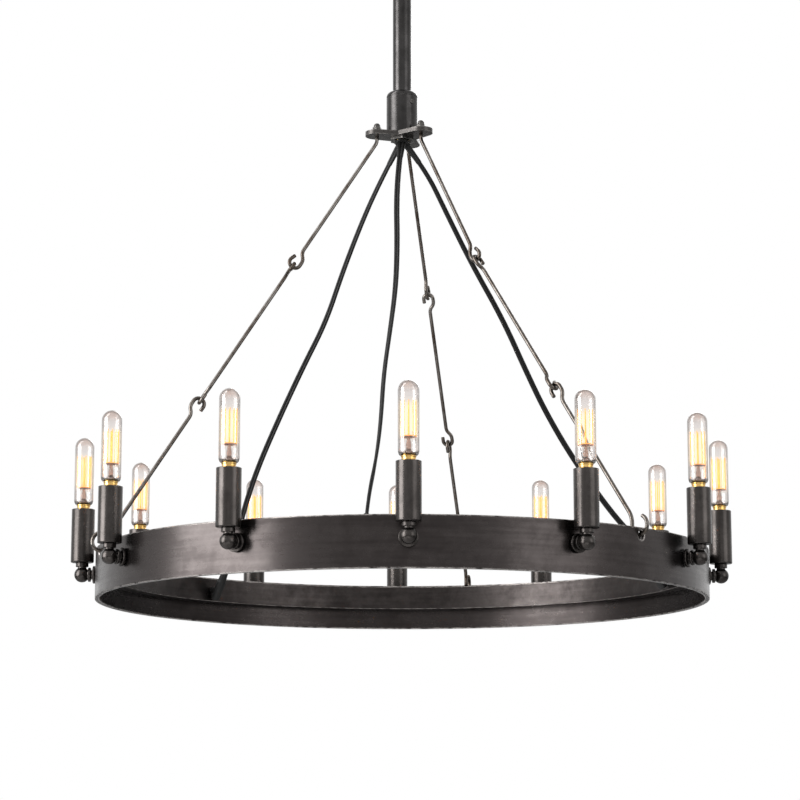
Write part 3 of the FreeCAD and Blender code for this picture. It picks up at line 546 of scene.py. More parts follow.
FINISHES: tuple[SolidFinish | GlassFinish | GlowFinish, ...] = (
    SolidFinish("bracket_zinc", (0.36, 0.37, 0.38), (0.56, 0.57, 0.57), (0.7, 0.7, 0.69),
                0.9, 0.34, 0.5, 60.0, grain_scale=900.0),
    SolidFinish("black_iron", (0.021, 0.020, 0.0195), (0.054, 0.0515, 0.051), (0.34, 0.33, 0.32),
                0.95, 0.21, 0.32, 26.0, grain_scale=1400.0, grain_depth=0.000004, grain_stretch=0.08,
                space=Space.UPRIGHT, edge_gain=0.6, dust=0.04),
    SolidFinish("nut_iron", (0.032, 0.030, 0.028), (0.105, 0.10, 0.095), (0.40, 0.385, 0.365),
                0.95, 0.20, 0.40, 110.0, contrast=0.7, grain_scale=1500.0, edge_gain=1.0),
    SolidFinish("plate_iron", (0.024, 0.022, 0.021), (0.080, 0.074, 0.070), (0.52, 0.50, 0.47),
                0.9, 0.26, 0.44, 60.0, contrast=0.6, grain_scale=1300.0, edge_radius=0.0007, edge_gain=1.0),
    SolidFinish("black_rubber", (0.004, 0.004, 0.004), (0.009, 0.009, 0.009), (0.03, 0.03, 0.03),
                0.0, 0.42, 0.6, 90.0, grain_scale=1900.0, fleck=0.1, dust=0.12, specular=0.25),
    # The band's wide, strong edge mask paints the bright highlight line along its upper and lower edges
    SolidFinish("ring_steel", (0.020, 0.0165, 0.016), (0.057, 0.050, 0.0485), (0.46, 0.43, 0.41),
                0.95, 0.20, 0.36, 15.0, contrast=0.35, fleck=0.3, grain_scale=1100.0, grain_stretch=0.05,
                space=Space.ROUND_THE_RING, edge_radius=0.0024, edge_gain=1.8, dust=0.05),
    SolidFinish("channel_steel", (0.019, 0.016, 0.0155), (0.059, 0.052, 0.050), (0.42, 0.39, 0.37),
                0.95, 0.24, 0.40, 19.0, contrast=0.55, grain_scale=1000.0, grain_stretch=0.05,
                space=Space.ROUND_THE_RING, edge_radius=0.0012, edge_gain=1.3, dust=0.05),
    SolidFinish("cup_iron", (0.026, 0.0235, 0.022), (0.067, 0.060, 0.057), (0.42, 0.39, 0.37),
                0.95, 0.22, 0.33, 30.0, contrast=0.4, grain_scale=1500.0, grain_depth=0.000004,
                grain_stretch=0.06, space=Space.UPRIGHT, edge_gain=0.7, dust=0.04),
    SolidFinish("socket_resin", (0.62, 0.58, 0.50), (0.74, 0.70, 0.62), (0.8, 0.76, 0.68),
                0.0, 0.42, 0.6, 70.0, grain_scale=1200.0, fleck=0.1),
    SolidFinish("brass", (0.36, 0.20, 0.045), (0.84, 0.56, 0.20), (0.95, 0.78, 0.42),
                1.0, 0.10, 0.24, 90.0, grain_scale=1600.0, dust=0.05, fleck=0.2),
    GlassFinish("bulb_glass", glow_strength=0.03, glow_low=BULB_GLOW_LOW, glow_high=BULB_GLOW_HIGH,
                crown_reflection_low=BULB_CROWN_REFLECTION_LOW, crown_reflection_high=BULB_CROWN_REFLECTION_HIGH),
    # The mount's rim colour is painted shade along its edges too
    GlassFinish("mount_glass", tint=(0.62, 0.42, 0.33), rim=(0.30, 0.17, 0.12), roughness=0.08, haze=0.12),
    GlowFinish("filament"),
    SolidFinish("raw_rod", (0.040, 0.028, 0.020), (0.160, 0.148, 0.136), (0.60, 0.58, 0.55),
                0.95, 0.14, 0.28, 22.0, contrast=0.7, fleck=0.3, grain_scale=1400.0, edge_radius=0.0003,
                edge_gain=0.5, dust=0.06),
    SolidFinish("black_cord", (0.004, 0.004, 0.004), (0.008, 0.008, 0.008), (0.02, 0.02, 0.02),
                0.0, 0.34, 0.5, 120.0, fleck=0.1, grain_scale=2200.0, grain_depth=0.00002, dust=0.03,
                specular=0.18),
)


class Palette:
    """Every finish as a material, by slot."""

    def __init__(self) -> None:
        """Builds the shared groups and every material."""
        effects = Effects()
        self.materials = {finish.slot: finish.build(effects) for finish in FINISHES}

    def __getitem__(self, slot: str) -> bpy.types.Material:
        """The material of a slot."""
        return self.materials[slot]

    def dress(self, node: bpy.types.Object, slot: str) -> None:
        """Puts a slot's material on a CAD node.

        Args:
            node: The CAD node's object.
            slot: The slot's name.
        """
        for place in node.material_slots:
            place.material = self.materials[slot]
        if not node.material_slots:
            node.data.materials.append(self.materials[slot])


# Mesh tools


def at_azimuth(azimuth: float) -> Matrix:
    """The turn that takes what is built towards +X to an azimuth in degrees from the front."""
    return Matrix.Rotation(math.radians(azimuth - 90.0), 4, "Z")


def point_at(azimuth: float, radius: float, height: float) -> Vector:
    """A point in metres at an azimuth, a distance from the hanging axis and a height, in millimetres."""
    angle = math.radians(azimuth)
    return Vector((radius * math.sin(angle), -radius * math.cos(angle), height)) * MM


def rounded(corners: Sequence[Corner], steps: int = 5) -> Outline:
    """Rounds the corners of a closed outline.

    Args:
        corners: Each corner as its radius from the axis, its height and its rounding.
        steps: How many segments an arc has.

    Returns:
        The outline's points.
    """
    points: Outline = []
    count = len(corners)
    for index, (radius, height, rounding) in enumerate(corners):
        here = Vector((radius, height))
        if rounding <= 0:
            points.append((radius, height))
            continue
        before = (Vector(corners[index - 1][:2]) - here).normalized()
        after = (Vector(corners[(index + 1) % count][:2]) - here).normalized()
        half = before.angle(after) / 2
        reach = rounding / math.tan(half)
        centre = here + (before + after).normalized() * (rounding / math.sin(half))
        start, end = here + before * reach - centre, here + after * reach - centre
        sweep = start.angle_signed(end)
        for step in range(steps + 1):
            turn = Matrix.Rotation(-sweep * step / steps, 2)
            place = centre + turn @ start
            points.append((place.x, place.y))
    return points


def arc_outline(radius: float, height: float, degrees: Iterable[int]) -> Outline:
    """Points on an arc about a centre on the axis, at angles up from level."""
    return [(radius * math.cos(math.radians(angle)), height + radius * math.sin(math.radians(angle)))
            for angle in degrees]


def lathe(name: str, outline: Outline, segments: int, closed: bool = True) -> bpy.types.Mesh:
    """Turns an outline round the upright axis.

    Args:
        name: The mesh's name.
        outline: Radii and heights in millimetres, anticlockwise seen with the axis on the left.
        segments: How many steps a full turn has.
        closed: Whether the last point joins the first, which it doesn't on a shape with two poles.

    Returns:
        The mesh, in metres, with its faces outward.
    """
    points: list[tuple[float, float, float]] = []
    rows: list[list[int]] = []
    for radius, height in outline:
        if radius < ON_AXIS:
            rows.append([len(points)] * segments)
            points.append((0.0, 0.0, height * MM))
            continue
        rows.append(list(range(len(points), len(points) + segments)))
        for step in range(segments):
            angle = 2 * math.pi * step / segments
            points.append((radius * math.cos(angle) * MM, radius * math.sin(angle) * MM, height * MM))
    pairs = list(zip(rows, rows[1:]))
    if closed:
        pairs.append((rows[-1], rows[0]))
    faces = []
    for low, high in pairs:
        for step in range(segments):
            after = (step + 1) % segments
            corner = [low[step], low[after], high[after], high[step]]
            unique = list(dict.fromkeys(corner))
            if len(unique) > 2:
                faces.append(unique)
    mesh = bpy.data.meshes.new(name)
    mesh.from_pydata(points, [], faces)
    finish_mesh(mesh)
    return mesh


def finish_mesh(mesh: bpy.types.Mesh, sharp_degrees: float = 40.0) -> None:
    """Shades a mesh smooth but for its sharp edges.

    Args:
        mesh: The mesh.
        sharp_degrees: The turn past which an edge stays sharp.
    """
    mesh.update()
    mesh.polygons.foreach_set("use_smooth", [True] * len(mesh.polygons))
    mesh.set_sharp_from_angle(angle=math.radians(sharp_degrees))
    mesh.update()


def joined(name: str, meshes: Iterable[tuple[bpy.types.Mesh, Matrix]]) -> bpy.types.Mesh:
    """One mesh from several, each moved into place.

    Args:
        name: The new mesh's name.
        meshes: Each mesh and its place.

    Returns:
        The joined mesh.
    """
    points: list[Vector] = []
    faces: list[list[int]] = []
    for mesh, place in meshes:
        start = len(points)
        points += [place @ vertex.co for vertex in mesh.vertices]
        faces += [[start + index for index in face.vertices] for face in mesh.polygons]
        bpy.data.meshes.remove(mesh)
    made = bpy.data.meshes.new(name)
    made.from_pydata(points, [], faces)
    finish_mesh(made)
    return made


def linked(name: str, data: bpy.types.ID) -> bpy.types.Object:
    """A new object at the origin, linked into the scene."""
    made = bpy.data.objects.new(name, data)
    bpy.context.scene.collection.objects.link(made)
    return made


def new_piece(name: str, mesh: bpy.types.Mesh, material: bpy.types.Material) -> bpy.types.Object:
    """A linked object of one mesh with its material."""
    mesh.materials.append(material)
    return linked(name, mesh)


def taken_mesh(holder: bpy.types.Object) -> bpy.types.Mesh:
    """An object's evaluated shape as a plain mesh, after which the object is removed."""
    graph = bpy.context.evaluated_depsgraph_get()
    mesh = bpy.data.meshes.new_from_object(holder.evaluated_get(graph), depsgraph=graph)
    bpy.data.objects.remove(holder)
    return mesh


def curve_of(name: str, kind: str, points: Sequence[tuple[Vector, float]]) -> bpy.types.Curve:
    """A curve in space with one spline.

    Args:
        name: The curve's name.
        kind: The spline's kind.
        points: Each point in metres, with the share of the full size that the section has there.

    Returns:
        The curve.
    """
    curve = bpy.data.curves.new(name, "CURVE")
    curve.dimensions = "3D"
    spline = curve.splines.new(kind)
    spline.points.add(len(points) - 1)
    for point, (place, size) in zip(spline.points, points):
        point.co = (*place, 1.0)
        point.radius = size
    return curve


# Geometry node trees


class Maker:
    """Geometry node trees that set copies round the ring and draw rods and flex along their paths."""

    TIP_SIZES = ((0.0, 0.55), (0.3, 0.85), (1.0, 1.0))

    def __init__(self) -> None:
        """Builds the three trees."""
        self.ring_tree = self._ring_tree()
        self.rod_tree = self._rod_tree()
        self.flex_tree = self._flex_tree()

    @staticmethod
    def _start(name: str, inputs: Sequence[tuple[str, str]]) -> tuple[Graph, bpy.types.Node, bpy.types.Node]:
        """A geometry tree with its sockets.

        Args:
            name: The tree's name.
            inputs: Each input's name and kind, after the geometry.

        Returns:
            The graph, the group's input node and its output node.
        """
        tree = bpy.data.node_groups.new(name, "GeometryNodeTree")
        tree.interface.new_socket("Geometry", in_out="INPUT", socket_type="NodeSocketGeometry")
        for label, kind in inputs:
            tree.interface.new_socket(label, in_out="INPUT", socket_type=kind)
        tree.interface.new_socket("Geometry", in_out="OUTPUT", socket_type="NodeSocketGeometry")
        graph = Graph(tree)
        return graph, graph.add("NodeGroupInput"), graph.add("NodeGroupOutput")

    @staticmethod
    def _end(graph: Graph, shape: Socket, material: Socket, leave: bpy.types.Node) -> None:
        """Ends a tree in Realize Instances and Set Material.

        Args:
            graph: The tree's graph.
            shape: The geometry to finish.
            material: The material's socket.
            leave: The group's output node.
        """
        real = graph.add("GeometryNodeRealizeInstances", {0: shape})
        dressed = graph.add("GeometryNodeSetMaterial", {"Geometry": real.outputs[0], "Material": material})
        graph.tree.links.new(dressed.outputs[0], leave.inputs[0])

    def _ring_tree(self) -> bpy.types.NodeTree:
        """Copies of a piece at even azimuths round the hanging axis, each facing outward."""
        graph, given, leave = self._start("Set round the ring", [
            ("Count", "NodeSocketInt"), ("Radius", "NodeSocketFloat"), ("First Azimuth", "NodeSocketFloat"),
            ("Material", "NodeSocketMaterial")])
        line = graph.add("GeometryNodeMeshLine", {"Count": given.outputs["Count"],
                                                  "Offset": (0.0, 0.0, 0.0)})
        index = graph.add("GeometryNodeInputIndex").outputs[0]
        share = graph.math("DIVIDE", index, given.outputs["Count"])
        azimuth = graph.math("MULTIPLY_ADD", share, 2 * math.pi, given.outputs["First Azimuth"])
        x = graph.math("MULTIPLY", graph.math("SINE", azimuth), given.outputs["Radius"])
        y = graph.math("MULTIPLY", graph.math("MULTIPLY", graph.math("COSINE", azimuth), -1.0),
                       given.outputs["Radius"])
        place = graph.add("ShaderNodeCombineXYZ", {0: x, 1: y, 2: 0.0})
        moved = graph.add("GeometryNodeSetPosition", {"Geometry": line.outputs[0],
                                                      "Position": place.outputs[0]})
        turn = graph.add("ShaderNodeCombineXYZ", {2: graph.math("SUBTRACT", azimuth, math.pi / 2)})
        copies = graph.add("GeometryNodeInstanceOnPoints", {
            "Points": moved.outputs[0], "Instance": given.outputs["Geometry"], "Rotation": turn.outputs[0]})
        self._end(graph, copies.outputs[0], given.outputs["Material"], leave)
        return graph.tree

    def _rod_tree(self) -> bpy.types.NodeTree:
        """A round rod drawn along a curve, thinner where the curve's own radius is."""
        graph, given, leave = self._start("Draw a round rod", [
            ("Radius", "NodeSocketFloat"), ("Sides", "NodeSocketInt"), ("Material", "NodeSocketMaterial")])
        section = graph.add("GeometryNodeCurvePrimitiveCircle", {
            "Resolution": given.outputs["Sides"], "Radius": given.outputs["Radius"]})
        rod = graph.add("GeometryNodeCurveToMesh", {
            "Curve": given.outputs["Geometry"], "Profile Curve": section.outputs[0],
            "Scale": graph.add("GeometryNodeInputRadius").outputs[0], "Fill Caps": True})
        smooth = graph.add("GeometryNodeSetShadeSmooth", {0: rod.outputs[0], "Shade Smooth": True})
        self._end(graph, smooth.outputs[0], given.outputs["Material"], leave)
        return graph.tree

    def _flex_tree(self) -> bpy.types.NodeTree:
        """Two conductors side by side along a curve, turning about it and thinner where its radius is."""
        graph, given, leave = self._start("Draw twin flex", [
            ("Radius", "NodeSocketFloat"), ("Spacing", "NodeSocketFloat"), ("First Turn", "NodeSocketFloat"),
            ("Twist", "NodeSocketFloat"), ("Sides", "NodeSocketInt"), ("Material", "NodeSocketMaterial")])
        upright = graph.add("GeometryNodeSetCurveNormal", {"Curve": given.outputs["Geometry"]}, mode="Z_UP")
        share = graph.add("GeometryNodeSplineParameter").outputs["Factor"]
        tilt = graph.math("MULTIPLY_ADD", share, given.outputs["Twist"], given.outputs["First Turn"])
        turned = graph.add("GeometryNodeSetCurveTilt", {"Curve": upright.outputs[0], "Tilt": tilt})
        core = graph.add("GeometryNodeCurvePrimitiveCircle", {
            "Resolution": given.outputs["Sides"], "Radius": given.outputs["Radius"]})
        both = graph.add("GeometryNodeJoinGeometry")
        for side in (-0.5, 0.5):
            shift = graph.math("MULTIPLY", given.outputs["Spacing"], side)
            offset = graph.add("ShaderNodeCombineXYZ", {0: shift})
            moved = graph.add("GeometryNodeTransform", {"Geometry": core.outputs[0],
                                                        "Translation": offset.outputs[0]})
            graph.tree.links.new(moved.outputs[0], both.inputs[0])
        flex = graph.add("GeometryNodeCurveToMesh", {
            "Curve": turned.outputs[0], "Profile Curve": both.outputs[0],
            "Scale": graph.add("GeometryNodeInputRadius").outputs[0], "Fill Caps": True})
        smooth = graph.add("GeometryNodeSetShadeSmooth", {0: flex.outputs[0], "Shade Smooth": True})
        self._end(graph, smooth.outputs[0], given.outputs["Material"], leave)
        return graph.tree

    @staticmethod
    def run(name: str, source: bpy.types.ID, tree: bpy.types.NodeTree, **values: object) -> bpy.types.Object:
        """Runs a tree on a mesh or curve and keeps the result as a plain mesh.

        Args:
            name: The piece's name.
            source: The mesh or curve that the tree starts from.
            tree: The geometry tree.
            **values: Its inputs by name, with a line for each space.

        Returns:
            The piece, with no modifier left on it.
        """
        seed = linked(name + "_seed", source)
        modifier = seed.modifiers.new("make", "NODES")
        modifier.node_group = tree
        keys = {item.name: item.identifier for item in tree.interface.items_tree if item.in_out == "INPUT"}
        for label, value in values.items():
            modifier[keys[label.replace("_", " ")]] = value
        mesh = taken_mesh(seed)
        mesh.name = name
        return linked(name, mesh)

    def round_the_ring(self, name: str, mesh: bpy.types.Mesh, count: int, radius: float,
                       material: bpy.types.Material, first: float = 0.0) -> bpy.types.Object:
        """Copies of a mesh at even azimuths.

        Args:
            name: The piece's name.
            mesh: What is copied, built towards +X.
            count: How many.
            radius: How far out each stands, in millimetres.
            material: Its material.
            first: The first azimuth in degrees.

        Returns:
            The piece.
        """
        return self.run(name, mesh, self.ring_tree, Count=count, Radius=radius * MM, Material=material,
                        First_Azimuth=math.radians(first))

    def rod(self, name: str, path: Sequence[Vector], radius: float, material: bpy.types.Material,
            tip: float = 0.6, sides: int = 20) -> bpy.types.Object:
        """A round rod with softly rounded ends.

        Args:
            name: The piece's name.
            path: Its centreline in metres.
            radius: Its radius in millimetres.
            material: Its material.
            tip: How long its rounded ends are, in millimetres.
            sides: How many sides its section has.

        Returns:
            The piece.
        """
        ahead = (path[1] - path[0]).normalized()
        back = (path[-2] - path[-1]).normalized()
        points = [(path[0] + ahead * tip * MM * share, size) for share, size in self.TIP_SIZES]
        points += [(place, 1.0) for place in path[1:-1]]
        points += [(path[-1] + back * tip * MM * share, size) for share, size in reversed(self.TIP_SIZES)]
        curve = curve_of(name + "_path", "POLY", points)
        return self.run(name, curve, self.rod_tree, Radius=radius * MM, Sides=sides, Material=material)


class RodPath:
    """The centreline of a bent rod, as straight runs and bends in one plane."""

    STEP_DEGREES = 6.0

    def __init__(self, start: Vector, heading: Vector, plane_normal: Vector) -> None:
        """Starts a path.

        Args:
            start: Its first point in millimetres.
            heading: The way it sets off.
            plane_normal: The normal of the plane that it bends in.
        """
        self.place = start
        self.heading = heading
        self.normal = plane_normal
        self.points = [start.copy()]

    def run(self, length: float) -> None:
        """Goes straight on for a length in millimetres."""
        self.place = self.place + self.heading * length
        self.points.append(self.place.copy())

    def bend(self, degrees: float, radius: float) -> None:
        """Bends on an arc.

        Args:
            degrees: The turn, right-handed about the plane's normal.
            radius: The arc's radius in millimetres.
        """
        sign = 1.0 if degrees >= 0 else -1.0
        centre = self.place + self.normal.cross(self.heading) * (sign * radius)
        start, heading = self.place - centre, self.heading.copy()
        steps = max(2, math.ceil(abs(degrees) / self.STEP_DEGREES))
        for step in range(1, steps + 1):
            turn = Quaternion(self.normal, math.radians(degrees) * step / steps)
            self.place = centre + turn @ start
            self.heading = turn @ heading
            self.points.append(self.place.copy())

    def turned(self, pivot: Vector, turn: Quaternion) -> "RodPath":
        """A copy of the path turned about a point.

        Args:
            pivot: The point in millimetres.
            turn: The turn.

        Returns:
            The turned path.
        """
        copy = RodPath(self.place.copy(), self.heading.copy(), self.normal.copy())
        copy.points = [pivot + turn @ (point - pivot) for point in self.points]
        return copy

    def at(self, azimuth: float) -> list[Vector]:
        """The points in metres, turned to an azimuth."""
        turn = at_azimuth(azimuth)
        return [turn @ (point * MM) for point in self.points]


# Sub-assemblies


@dataclass
class Hub:
    """The domed nuts that hold the arms' threads on the hub plate, with sizes in millimetres."""

    pitch_r: float = 28.0
    first_azimuth: float = -75.0
    seat_z: float = -372.5
    flats: float = 8.5
    hex_height: float = 5.4
    chamfer: float = 0.5
    dome_r: float = 3.6
    dome_rise: float = 6.4
    dome_segments: int = 28

    def nut(self) -> bpy.types.Mesh:
        """One nut: a hexagon with a chamfered top and the dome on it."""
        corner = self.flats / 2 / math.cos(math.radians(30))
        top = self.seat_z + self.hex_height
        hexagon = lathe("nut_hexagon", [
            (0.0, self.seat_z), (corner, self.seat_z), (corner, top - self.chamfer),
            (corner - self.chamfer, top), (0.0, top)], 6, closed=False)
        centre = self.seat_z + self.dome_rise
        dome = lathe("nut_dome", [
            (0.0, top - self.chamfer), (self.dome_r, top - self.chamfer),
            *arc_outline(self.dome_r, centre, range(0, 90, 10)), (0.0, centre + self.dome_r)],
            self.dome_segments, closed=False)
        return joined("nut", [(hexagon, IN_PLACE), (dome, IN_PLACE)])

    def build(self, maker: Maker, palette: Palette) -> None:
        """Sets the three nuts on the plate.

        Args:
            maker: The geometry trees.
            palette: The materials.
        """
        piece = maker.round_the_ring("hub_cap_nut_set", self.nut(), 3, self.pitch_r, palette["nut_iron"],
                                     self.first_azimuth)
        declare(piece, Body.STEM, "hub_cap_nuts")


@dataclass
class Arms:
    """The three chains of hooked rods, with the source's own sizes in millimetres."""

    rod_r: float = 2.0
    play: float = 0.5
    lobe_r: float = 28.0
    plate_top: float = -372.5
    plate_low: float = -377.0
    thread: float = 3.5
    bend_drop: float = 7.0
    bend_r: float = 12.0
    foot_r: float = 307.0
    foot_z: float = -815.0
    foot_rise: float = 12.0
    foot_bend_r: float = 20.0
    ring_top: float = -827.0
    upper_rise: float = 302.0
    lower_rise: float = 152.0
    hook_r: float = 6.0
    cross_hook_r: float = 5.2
    offset_r: float = 10.0
    shank: float = 3.0
    tip: float = 5.0
    curl: float = 20.0
    ring_hook_r: float = 9.0
    ring_hook_rise: float = 2.4
    ring_tip_r: float = 10.0
    ring_tip_turn: float = 65.0
    hole: Corner = (315.25, 0.0, -834.6)
    sway: Corner = (-6.3, -6.3, -4.1)
    azimuths: dict[str, float] = field(default_factory=lambda: {"left": -75.0, "right": 45.0, "back": 165.0})

    def line(self) -> tuple[Vector, Vector, Vector]:
        """The arm's straight line: its two ends and its direction."""
        top = Vector((self.lobe_r, 0.0, self.plate_low - self.bend_drop))
        foot = Vector((self.foot_r, 0.0, self.foot_z))
        return top, foot, (foot - top).normalized()

    def lean(self) -> float:
        """The arm's angle from upright in degrees."""
        along = self.line()[2]
        return math.degrees(math.atan2(along.x, -along.z))

    def reach(self, rise: float) -> float:
        """How far along the line a joint at a rise above the ring lies."""
        top, _, along = self.line()
        return (top.z - (self.ring_top + rise)) / -along.z

    def offset(self, hook_r: float) -> tuple[float, float]:
        """The double bend's turn and length for a hook's radius."""
        turn = math.acos(1 - hook_r / (2 * self.offset_r))
        return math.degrees(turn), 2 * self.offset_r * math.sin(turn)

    def seat(self) -> float:
        """Half the distance between two rods that bear on each other."""
        return self.rod_r + self.play / 2

    def swayed_joint(self) -> Vector:
        """Where the right arm's upper joint hangs, as its upper rod is bent by hand."""
        top, _, along = self.line()
        return top + along * self.reach(self.upper_rise) + Vector(self.sway)

    def swayed_upper(self) -> RodPath:
        """The right arm's upper rod, which leans and turns a little off the others."""
        top = self.line()[0]
        reach = self.swayed_joint() - top
        level = math.hypot(reach.x, reach.y)
        path = self.upper(math.degrees(math.atan2(level, -reach.z)), reach.length)
        return path.turned(top, Quaternion(UP, math.atan2(reach.y, reach.x)))

    def swayed(self, path: RodPath) -> RodPath:
        """A lower rod of the right arm, turned about its hole in the band."""
        top, _, along = self.line()
        hole = Vector(self.hole)
        straight = top + along * self.reach(self.upper_rise)
        turn = (straight - hole).rotation_difference(self.swayed_joint() - hole)
        return path.turned(hole, turn)

    def upper(self, lean: float, joint: float) -> RodPath:
        """From the hub's nut to the first joint.

        Args:
            lean: The rod's angle from upright in degrees.
            joint: How far along the rod the joint lies, in millimetres.

        Returns:
            The path.
        """
        corner = self.bend_r * math.tan(math.radians(lean / 2))
        path = RodPath(Vector((self.lobe_r, 0.0, self.plate_top + self.thread)), UP * -1.0, SIDEWAYS)
        path.run(self.plate_top + self.thread - self.plate_low + self.bend_drop - corner)
        path.bend(-lean, self.bend_r)
        turn, length = self.offset(self.hook_r)
        path.run(joint + self.seat() - self.hook_r - self.shank - length - corner)
        path.bend(turn, self.offset_r)
        path.bend(-turn, self.offset_r)
        path.run(self.shank)
        path.bend(-180.0 - self.curl, self.hook_r)
        path.run(self.tip)
        return path

    def middle(self) -> RodPath:
        """Between the joints, with both hooks across the arm."""
        top, _, along = self.line()
        turn, length = self.offset(self.cross_hook_r)
        upper = self.reach(self.upper_rise) - self.seat() + self.cross_hook_r
        lower = self.reach(self.lower_rise) + self.seat() - self.cross_hook_r
        start = top + along * (upper + self.tip) + SIDEWAYS * self.cross_hook_r
        path = RodPath(start, along * -1.0, along.cross(SIDEWAYS))
        path.run(self.tip)
        path.bend(180.0, self.cross_hook_r)
        path.run(self.shank)
        path.bend(turn, self.offset_r)
        path.bend(-turn, self.offset_r)
        path.run(lower - upper - 2 * (self.shank + length))
        path.bend(-turn, self.offset_r)
        path.bend(turn, self.offset_r)
        path.run(self.shank)
        path.bend(180.0, self.cross_hook_r)
        path.run(self.tip)
        return path

    def lower(self) -> RodPath:
        """From the second joint to the hook through the band."""
        top, foot, along = self.line()
        lean = self.lean()
        turn, length = self.offset(self.hook_r)
        centre = self.reach(self.lower_rise) - self.seat() + self.hook_r
        corner = self.foot_bend_r * math.tan(math.radians(lean / 2))
        start = top + along * (centre + self.tip) - along.cross(SIDEWAYS) * self.hook_r
        path = RodPath(start, along * -1.0, SIDEWAYS)
        path.run(self.tip)
        path.bend(180.0, self.hook_r)
        path.run(self.shank)
        path.bend(turn, self.offset_r)
        path.bend(-turn, self.offset_r)
        path.run((foot - top).length - centre - self.shank - length - corner)
        path.bend(lean, self.foot_bend_r)
        path.run(self.foot_rise - corner - self.ring_hook_rise)
        path.bend(-180.0, self.ring_hook_r)
        path.bend(-self.ring_tip_turn, self.ring_tip_r)
        return path

    def build(self, maker: Maker, palette: Palette) -> None:
        """Draws the nine links as round rods.

        Args:
            maker: The geometry trees.
            palette: The materials.
        """
        straight = {"upper": self.upper(self.lean(), self.reach(self.upper_rise)), "middle": self.middle(),
                    "lower": self.lower()}
        off_line = {"upper": self.swayed_upper(), "middle": self.swayed(straight["middle"]),
                    "lower": self.swayed(straight["lower"])}
        for side, azimuth in self.azimuths.items():
            for link, path in (off_line if side == "right" else straight).items():
                node = f"{link}_link_{side}"
                piece = maker.rod(f"rod_{link}_{side}", path.at(azimuth), self.rod_r, palette["raw_rod"])
                body = Body.STEM if link == "upper" else Body(f"arm_{side}")
                declare(piece, body, node)


